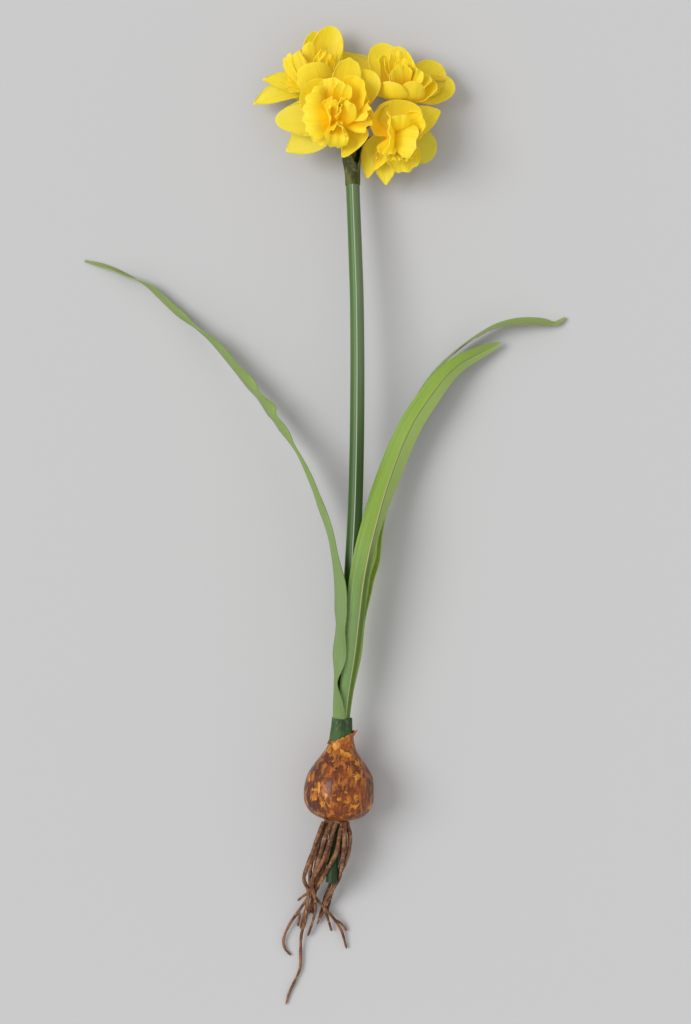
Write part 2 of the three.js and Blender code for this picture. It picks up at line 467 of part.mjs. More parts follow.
// The face of a petal in the bloom.
function petalFace([outline, root, tip, width, look, shape]) {
  const { root: rootWidth, peak, tip: tipWidth, drop, sharp } = OUTLINES[outline];
  const {
    cup = 0, bow = 0, hook = 0, sway = 0, roll = 0, ruffle = 0, waves = 0, lobes = 0, notch = 0,
  } = shape;
  const start = onPlan(root);
  const reach = onPlan(tip).sub(start);
  const length = reach.length();
  const forward = reach.normalize();
  const facing = new THREE.Vector3(...look);
  const inward = facing.clone().addScaledVector(forward, -facing.dot(forward)).normalize();
  const sideways = new THREE.Vector3().crossVectors(forward, inward);
  const bend = THREE.MathUtils.degToRad(cup);
  const turn = THREE.MathUtils.degToRad(roll);
  return (s, evenly) => {
    const t = Math.sin((evenly * Math.PI) / 2);
    const rise = s < peak ? Math.sin(((s / peak) * Math.PI) / 2) : 1;
    const fall = s < peak ? 0 : ((s - peak) / (1 - peak)) ** 2;
    const half = (width / 2) * (rootWidth + (1 - rootWidth) * rise - (1 - tipWidth) * fall);
    const corner = 1 - Math.sqrt(1 - Math.min(Math.abs(t) ** sharp, 1));
    const cut = notch * s ** NOTCH_POWER * (0.5 + 0.5 * Math.cos(Math.PI * lobes * (t + 1)));
    const reached = s - drop * corner * s ** DROP_POWER - cut;
    let ahead = reached * length;
    let lift = length * (hook * reached ** 3 - bow * 4 * reached * (1 - reached));
    if (turn && reached > ROLL_FROM) {
      const radius = (length * (1 - ROLL_FROM)) / turn;
      const angle = (turn * (reached - ROLL_FROM)) / (1 - ROLL_FROM);
      ahead = length * ROLL_FROM + radius * Math.sin(angle);
      lift -= radius * (1 - Math.cos(angle));
    }
    const opened = bend * Math.min(1, CUP_AT_ROOT + s);
    const across = ((2 * half) / opened) * Math.sin((t * opened) / 2)
      + sway * length * 4 * reached * (1 - reached);
    lift += ((2 * half) / opened) * (1 - Math.cos((t * opened) / 2));
    lift += ruffle * s * s * Math.sin(Math.PI * waves * (t + 0.2));
    return start.clone().addScaledVector(forward, ahead).addScaledVector(sideways, across)
      .addScaledVector(inward, lift);
  };
}

// The face of a leaf.
function leafFace({ rows, crease, wave, waves }) {
  const spine = (s) => onPlan(along(rows, Math.max(0, Math.min(1, s))));
  return (s, t) => {
    const [, , , width, rollDegrees, bendDegrees] = along(rows, Math.max(0, Math.min(1, s)));
    const forward = spine(s + LEAF_SLOPE_STEP).sub(spine(s - LEAF_SLOPE_STEP)).normalize();
    const level = new THREE.Vector3().crossVectors(forward, new THREE.Vector3(0, 0, 1)).normalize();
    const upward = new THREE.Vector3().crossVectors(level, forward);
    const roll = THREE.MathUtils.degToRad(rollDegrees);
    const sideways = level.clone().multiplyScalar(Math.cos(roll)).addScaledVector(upward, Math.sin(roll));
    const inward = upward.clone().multiplyScalar(Math.cos(roll)).addScaledVector(level, -Math.sin(roll));
    const bend = THREE.MathUtils.degToRad(bendDegrees) / 2;
    const bent = Math.min(1, Math.max(crease, LEAF_CURL.most - LEAF_CURL.fade * s));
    const curved = Math.min(Math.abs(t), bent);
    const straight = Math.abs(t) - curved;
    const radius = ((width / 2) * bent) / bend;
    const angle = (bend * curved) / bent;
    const across = Math.sign(t) * (radius * Math.sin(angle) + (width / 2) * straight * Math.cos(bend));
    const free = THREE.MathUtils.smoothstep(s, LEAF_FREE.from, LEAF_FREE.full)
      * THREE.MathUtils.smoothstep(1 - s, 0, LEAF_FREE.tip);
    const lift = radius * (1 - Math.cos(angle)) + (width / 2) * straight * Math.sin(bend)
      + wave * free * t * t * Math.sin(2 * Math.PI * waves * s + t);
    return spine(s).addScaledVector(sideways, across).addScaledVector(inward, lift);
  };
}

function makeBulb() {
  const base = onPlan(BULB_BASE);
  const axis = onPlan(BULB_TOP).sub(base).normalize();
  const height = BULB_PROFILE.at(-1)[0];
  const outside = ([at, radius]) => ring(
    base.clone().addScaledVector(axis, at), axis, radius, BULB_SIDES,
    (angle) => [
      (at / height) ** BULB_SLOPE_POWER * BULB_RIM_SLOPE * Math.cos(angle),
      1 + BULB_UNROUND * Math.cos(3 * angle),
    ],
  );
  const inside = (at, radius) => ring(
    base.clone().addScaledVector(axis, at), axis, radius, BULB_SIDES,
    (angle) => [at === height ? BULB_RIM_SLOPE * Math.cos(angle) : 0, 1],
  );
  return ringBody([
    ...BULB_PROFILE.map(outside), inside(height, BULB_NECK_BORE),
    inside(height - BULB_NECK_DEPTH, BULB_NECK_BORE), inside(height - BULB_NECK_DEPTH, BULB_BORE),
    inside(0, BULB_BORE),
  ], true);
}

function bloomAxis({ back, front }) {
  return onPlan(front).sub(onPlan(back)).normalize();
}

function makeStem() {
  const rows = Array.from({ length: STEM_STEPS + 1 }, (_, i) => along(STEM, i / STEM_STEPS));
  let stem = bar(rows.map(onPlan), rows.map((row) => row[3]), STEM_SIDES);
  const neck = onPlan(STEM.at(-2));
  for (const bloom of Object.values(BLOOMS)) {
    const back = onPlan(bloom.back);
    const axis = bloomAxis(bloom);
    const way = new THREE.CatmullRomCurve3([
      neck, onPlan(STEM.at(-1)), ...bloom.route.map(onPlan),
      back.clone().addScaledVector(axis, -PEDICEL_TURN),
    ]);
    const points = [...way.getPoints(PEDICEL_STEPS), back.clone().addScaledVector(axis, -GAP)];
    stem = stem.add(bar(points, points.map(() => PEDICEL_RADIUS), PEDICEL_SIDES));
  }
  return stem;
}

function makeBloom(bloom) {
  const back = onPlan(bloom.back);
  const front = onPlan(bloom.front);
  const axis = bloomAxis(bloom);
  const { wide } = bloom;
  const lip = front.clone().addScaledVector(axis, TUBE.lip);
  const way = [back, back.clone().lerp(front, TUBE.waist), front, lip];
  const radii = [PEDICEL_RADIUS + TUBE.start, wide * TUBE.waistWidth, wide, wide * TUBE.lipWidth];
  let joined = bar(way, radii, TUBE.sides);
  for (const petal of bloom.petals) {
    const [outline, , , width, , { roll }] = petal;
    const steps = PETAL_STEPS[outline] + (roll ? ROLL_STEPS : 0);
    const cells = width > CORONA_WIDTH ? CORONA_CELLS : PETAL_CELLS;
    joined = joined.add(sheet(petalFace(petal), PETAL_THICK, steps, cells));
  }
  return joined;
}

// A thin sleeve along rows of u, v, height and inner radius, with an upper edge of its own height.
function sleeve(rows, steps, edge) {
  const rings = Array.from({ length: steps + 1 }, (_, i) => {
    const s = i / steps;
    const row = along(rows, s);
    const before = onPlan(along(rows, Math.max(s - SLEEVE_SLOPE_STEP, 0)));
    const direction = onPlan(along(rows, Math.min(s + SLEEVE_SLOPE_STEP, 1))).sub(before).normalize();
    const reach = (angle) => [edge(angle) * THREE.MathUtils.smoothstep(s, EDGE_FROM, 1), 1];
    return [row[3] + SHEATH_THICK, row[3]].map((radius) => (
      ring(onPlan(row), direction, radius, SLEEVE_SIDES, reach)));
  });
  return ringBody([...rings.map((pair) => pair[0]), ...rings.map((pair) => pair[1]).reverse()], true);
}

function makeSpathe() {
  const edge = (angle) => {
    const turned = angle > Math.PI ? angle - 2 * Math.PI : angle;
    const cut = Math.max(0, 1 - Math.abs(turned - SPATHE_CUT.at) / SPATHE_CUT.half);
    return SPATHE_WAVE * Math.cos(2 * angle) - SPATHE_CUT.deep * cut ** SPATHE_CUT.power;
  };
  return sleeve(SPATHE, SPATHE_STEPS, edge);
}

function makeBasalSheath() {
  return sleeve(BASAL_SHEATH, BASAL_STEPS, (angle) => BASAL_WAVE * Math.cos(2 * angle));
}

function makeRoots() {
  const base = onPlan(BULB_BASE);
  const axis = onPlan(BULB_TOP).sub(base).normalize();
  const level = (at, radius) => ring(base.clone().addScaledVector(axis, at), axis, radius, CROWN.sides);
  let roots = ringBody([
    level(CROWN.top, CROWN.outer), level(CROWN.bottom, CROWN.outer * CROWN.taper),
    level(CROWN.bottom, CROWN.inner), level(CROWN.top, CROWN.inner),
  ], true);
  for (const rows of ROOTS) {
    const thick = rows[0][1] < CROWN_V ? ROOT_RADIUS : ROOTLET_RADIUS;
    const steps = Math.round((rows.length - 1) * ROOT_STEPS);
    const points = Array.from({ length: steps + 1 }, (_, i) => onPlan(along(rows, i / steps)));
    const radii = points.map((_, i) => thick + (ROOT_TIP - thick) * (i / steps));
    roots = roots.add(bar(points, radii, ROOT_SIDES));
  }
  const rodRows = [ROD_END, ...STEM.slice(0, 2)];
  const room = bar(rodRows.map(onPlan), rodRows.map((row) => row[3] + 2 * GAP), STEM_SIDES);
  return roots.subtract(room);
}

function mesh(name, solid, look) {
  const { vertProperties, triVerts } = cleaned(solid.trimByPlane([0, 0, 1], 0)).getMesh();
  const geometry = new THREE.BufferGeometry();
  geometry.setAttribute('position', new THREE.Float32BufferAttribute(vertProperties, 3));
  geometry.setIndex(Array.from(triVerts));
  const material = new THREE.MeshStandardMaterial({ ...LOOKS[look], metalness: 0 });
  const result = new THREE.Mesh(mergeVertices(geometry), material);
  result.name = name;
  return result;
}

const daffodil = new THREE.Group();
daffodil.add(mesh('bulb', makeBulb(), 'bulb'));
daffodil.add(mesh('roots', makeRoots(), 'root'));
daffodil.add(mesh('basal_sheath', makeBasalSheath(), 'sheath'));
daffodil.add(mesh('stem', makeStem(), 'stem'));
for (const [name, leaf] of Object.entries(LEAVES)) {
  daffodil.add(mesh(name, sheet(leafFace(leaf), LEAF_THICK, LEAF_STEPS, leaf.cells), 'leaf'));
}
daffodil.add(mesh('spathe', makeSpathe(), 'spathe'));
for (const [name, bloom] of Object.entries(BLOOMS)) {
  daffodil.add(mesh(name, makeBloom(bloom), 'petal'));
}

export default daffodil;
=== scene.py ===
import bpy
import numpy as np
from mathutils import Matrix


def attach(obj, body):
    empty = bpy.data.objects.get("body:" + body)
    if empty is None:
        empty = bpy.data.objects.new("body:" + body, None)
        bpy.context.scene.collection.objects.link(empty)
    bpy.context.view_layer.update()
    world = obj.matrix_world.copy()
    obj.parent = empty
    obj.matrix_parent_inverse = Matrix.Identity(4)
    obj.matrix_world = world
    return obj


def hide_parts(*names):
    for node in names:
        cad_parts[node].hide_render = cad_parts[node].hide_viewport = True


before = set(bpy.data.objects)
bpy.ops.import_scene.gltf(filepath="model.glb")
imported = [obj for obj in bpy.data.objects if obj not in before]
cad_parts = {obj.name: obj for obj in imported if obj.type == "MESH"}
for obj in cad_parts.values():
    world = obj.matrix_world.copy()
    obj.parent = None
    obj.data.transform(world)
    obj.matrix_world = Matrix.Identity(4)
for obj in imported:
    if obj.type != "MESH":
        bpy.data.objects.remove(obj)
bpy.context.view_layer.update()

# The plan drawing: a place is given as u (right) and v (down) in units of 0.7 mm, as it looks from
# 1991 mm above the surface, with its real height z in millimetres.
PLAN_UNIT = 0.7
EYE_HEIGHT = 1991
EYE_U = 345.5
EYE_V = 512
EYE_X = 4.15
EYE_Y = 188.9
MM = 0.001

# Sheet thicknesses in millimetres, and the height below which no sheet's middle lies.
PETAL_THICK = 0.45
LEAF_THICK = 0.7
SHEATH_THICK = 0.6
TUNIC_THICK = 0.8
FLOOR_GAP = 0.35

# Faces across or round each piece, then along it. A root has ROOT_STRETCH rows for each of its
# places. Edges of less than SMOOTH_UNDER degrees look smooth.
PETAL_FACES = (32, 34)
CORONA_FACES = (84, 34)
LEAF_FACES = (24, 320)
STEM_FACES = (72, 260)
STALK_FACES = (20, 40)
BULB_FACES = (200, 150)
SPATHE_FACES = (120, 60)
SHEATH_FACES = (96, 40)
TUBE_SIDES = 32
ROOT_SIDES = 12
ROOT_STRETCH = 9
CROWN_SIDES = 48
SMOOTH_UNDER = 60

# Stem: u, v, height and radius, from below the bulb to the neck of the head.
STEM = [
    (331.6, 882, 20.4, 4), (335.9, 819, 22.6, 4.2), (338, 785, 23.5, 4.2), (340.3, 748, 24.4, 4.2),
    (342.1, 718, 25.6, 4.2), (343.7, 690, 27.2, 4.4), (346, 650, 29.2, 4.8), (349.2, 605, 30.9, 5.1),
    (352.4, 560, 32.4, 5.1), (355.3, 504, 33.9, 5.05), (356.9, 440, 34.1, 5), (357.4, 370, 33.4, 4.9),
    (356.9, 304, 30.2, 4.8), (355.4, 255, 26.6, 4.75), (353.5, 205, 22.4, 4.7), (352.4, 176, 20.4, 4.8),
    (352, 163, 19.8, 4.4),
]
PEDICEL_RADIUS = 2.2
# A low ridge with a painted highlight runs along the stem, on its upper and lower side: share of the
# half turn.
RIDGE_AT = 0.52

BULB_BASE = (335.9, 819, 22.6)
BULB_TOP = (340.9, 738, 24.7)
# Height above the base, then the radius on the left and on the right of the axis.
BULB_SKIN = [
    (0.6, 4.9, 4.9), (0.1, 8.6, 9.4), (1.6, 13.4, 15.4), (4.9, 18.6, 20.6), (11, 22.6, 24.4),
    (20, 23.6, 24.8), (30, 21.6, 23.4), (38, 17.2, 18.4), (45.5, 12.4, 12), (52, 9.2, 9), (57, 8.7, 8.6),
]
# How much the rim rises from its middle to the right, and half the bulb's width.
BULB_RIM_SLOPE = 4.3
BULB_HALF = 24.5
# Where its brown skin has worn through to gold: u, v, half width and half height.
BULB_WORN = [
    (329, 750, 2.6, 3.2), (334.8, 746.5, 1.3, 3.4), (342, 751.5, 2.2, 2), (346.5, 755, 3, 2.4),
    (350.6, 759, 1.8, 2), (348.5, 745.5, 2.6, 1.6), (357.5, 763.5, 3.2, 2.6), (348.6, 768.4, 1.1, 2.6),
    (356.6, 777, 2.8, 3.2), (361.6, 774, 1.3, 4.6), (365, 783, 1.2, 3), (314.5, 789.6, 3.4, 1.1),
    (319.3, 788, 1, 5.2), (315.4, 798, 2.8, 2.4), (321, 803, 2.2, 2.2), (325.8, 795.6, 2.2, 4),
    (339.5, 799.4, 3, 1.6), (346, 801.8, 3.4, 1.3), (347, 793, 2.4, 1.1), (355.6, 796, 2.4, 3),
    (353, 806.4, 3.8, 1.4), (349.6, 814.6, 4.2, 1), (370.2, 807.6, 2, 2.6), (309.2, 778, 1, 4.6),
    (329.6, 806, 2.2, 1.4), (332.4, 762, 1, 2.4),
]

# Spathe and basal sheath: u, v, height and inner radius, from below to above.
SPATHE = [(352.8, 185, 20.9, 5.2), (352.4, 172, 20.2, 5.5), (351.6, 160, 19.9, 6.6), (351.2, 147, 20, 8)]
SHEATH = [
    (340.5, 745, 24.5, 7.7), (341.1, 736, 24.9, 7.3), (341.7, 727, 25.2, 6.8), (342.2, 718, 25.6, 6.4),
]
# The spathe's slit, which looks up and to the right: middle and half width, as angles, and depth.
SPATHE_CUT_AT = 1.05
SPATHE_CUT_HALF = 0.75
SPATHE_CUT_DEEP = 14.5

# Leaves. crease: bent share of the half width, the rest being flat. wave (mm), waves (number) and wavy
# (-1 or 1): the waves of one margin, which end at calm (place along the leaf). rib, rib_dark, grey and
# painted_glow: how strong its pale midrib, the dark line beside it (with painted shade on one side of the
# rib and a painted sheen low down), its grey tint and its painted glow of light through the leaf are.
LEAVES = {
    "leaf_right": dict(crease=0.2, wave=0.9, wavy=-1, waves=11, calm=0.42, rib=1, rib_dark=1),
    "leaf_left": dict(crease=1, wave=0.6, wavy=-1, waves=13, rib=0.15, grey=0.5),
    "leaf_back": dict(crease=0.5, wave=0.5, wavy=1, waves=12, painted_glow=0.85, grey=0.5),
}
# Leaf rows: u, v, height, width, roll and bend of the section in degrees, from base to tip.
LEAF_ROWS = {
    "leaf_right": [
        (343.9, 748, 28.7, 10.7, 152, 122), (345.7, 718, 29.9, 10.7, 152, 122),
        (348.8, 690, 33.4, 13, 148, 110), (354.4, 655, 37, 16, 147, 92), (359, 616, 40.2, 19, 146, 84),
        (362.3, 588, 41.4, 20, 149, 84), (366.6, 563, 41.6, 20.5, 152, 82),
        (372, 539, 40.4, 20.5, 154, 80), (381.6, 503, 34, 20, 160, 76), (390.6, 475, 29.5, 19.5, 167, 70),
        (401.6, 446, 27, 18.5, 172, 64), (414, 420, 26.6, 17.5, 175, 60),
        (429.4, 397, 25.4, 16.5, 175, 58), (444, 378, 23, 15, 172, 56),
        (458.6, 364.4, 18.6, 12.6, 170, 52), (473, 356, 14, 10.4, 170, 48),
        (486.4, 349.4, 10, 7.6, 172, 40), (494.6, 345.6, 8, 5, 175, 30), (500.6, 342.8, 7, 1.4, 180, 10),
    ],
    "leaf_left": [
        (332.7, 748, 27.4, 16.6, -122, 155), (334.5, 718, 28.7, 16.6, -122, 155),
        (334.4, 702, 30.4, 16, -113, 112), (334.4, 680, 32.2, 15.4, -94, 44),
        (335.8, 655, 36, 17, -126, 96), (337.4, 629, 38.4, 16, -113, 76),
        (338.3, 611, 39.6, 17, -123, 66), (337.6, 590, 39.2, 16, -119, 60),
        (334.6, 565, 37.6, 15.5, -111, 50), (328.6, 535, 34, 15, -104, 44),
        (319.6, 506, 30.5, 15, -110, 40), (311.6, 486, 28, 14.5, -101, 36), (299, 457, 24.6, 14, -98, 30),
        (289.4, 441, 22, 14.2, -102, 28), (280.8, 427.4, 20.2, 14.5, -112, 26),
        (272.6, 416.4, 18.7, 14.5, -108, 26), (268.6, 408.4, 17.6, 14.5, -121, 26),
        (256.8, 395, 15.9, 14.5, -106, 26), (247.2, 380.6, 13.9, 14, -121, 24),
        (232.8, 365, 12, 13.5, -111, 24), (212, 341.6, 9.6, 12.5, -105, 22),
        (194.4, 327, 7.6, 11.4, -97, 20), (178, 312.8, 6, 10.4, -116, 20), (160.4, 296.4, 5, 9, -116, 16),
        (144, 284, 4.3, 7.4, -96, 14), (122, 273, 3, 5.4, -70, 12), (102, 265.6, 1.7, 3.6, -34, 8),
        (84.8, 261, 1, 1.3, -5, 5),
    ],
    "leaf_back": [
        (342.2, 748, 19.4, 10.7, 13, 116), (344, 718, 20.6, 10.7, 13, 116),
        (347.4, 690, 20.8, 13, 24, 100), (353.6, 655, 20, 15.6, 36, 50), (358.8, 620, 19.4, 16.4, 46, 40),
        (364.4, 590, 19, 17, 40, 36), (368, 572, 18.6, 17, 36, 34), (372, 552, 18.2, 17, 36, 34),
        (378.4, 520, 17.6, 16.4, 45, 34), (387, 490, 16, 16, 50, 32), (396, 462, 15.4, 15.4, 57, 30),
        (406.4, 434, 14.8, 15, 64, 28), (418.4, 402, 13.8, 14.5, 74, 24), (431, 379, 12.6, 14, 82, 22),
        (446, 361.4, 11.6, 13.4, 85, 20), (464.4, 345.4, 10.8, 12.4, 86, 18),
        (483, 333.4, 10.6, 11.4, 80, 18), (501, 325.6, 8.6, 10.4, 68, 18), (521, 322, 6.2, 9.6, 56, 18),
        (542, 322.6, 4.2, 8.2, 46, 16), (554, 324, 3, 5, 52, 12), (560, 321.6, 2.2, 3.6, 40, 8),
        (565.4, 317.8, 1.8, 1.6, 30, 5),
    ],
}
# Between these places up the plan, in millimetres, the leaf's painted glow fades: a brighter yellow-green
# low on the leaf, which stands in for light that comes through it.
PAINTED_GLOW_FADES = (160, 230)

# Petal outlines: width at the root, where it is widest, width left at the tip, how far the tip
# corners drop back and how sharply.
OUTLINES = {
    "round": dict(root=0.36, peak=0.6, tip=0.94, drop=0.42, sharp=2),
    "oval": dict(root=0.36, peak=0.5, tip=0.8, drop=0.46, sharp=1.8),
    "tepal": dict(root=0.36, peak=0.5, tip=0.5, drop=0.34, sharp=1.6),
    "point": dict(root=0.4, peak=0.42, tip=0.16, drop=0.05, sharp=1.2),
    "lance": dict(root=0.28, peak=0.58, tip=0.12, drop=0.05, sharp=1.2),
    "fan": dict(root=0.3, peak=0.85, tip=0.98, drop=0.26, sharp=2.4),
}

# Blooms: back and front middle of the tube, its widest radius, and the pedicel's way.
BLOOMS = {
    "bloom_left": dict(back=(323, 107, 13), front=(313.5, 87, 25), wide=5,
                       route=[(346, 150, 17), (335, 129, 11.5)]),
    "bloom_front": dict(back=(343, 128, 27), front=(335, 112, 42), wide=6.5, route=[(350, 150, 22)]),
    "bloom_right": dict(back=(393, 103, 17), front=(403, 86, 29), wide=5,
                        route=[(354.6, 145, 14.8), (368, 123, 12)]),
    "bloom_low": dict(back=(386, 137, 23), front=(398, 134, 37), wide=6,
                      route=[(357, 146, 19.4), (369, 140, 19)]),
}
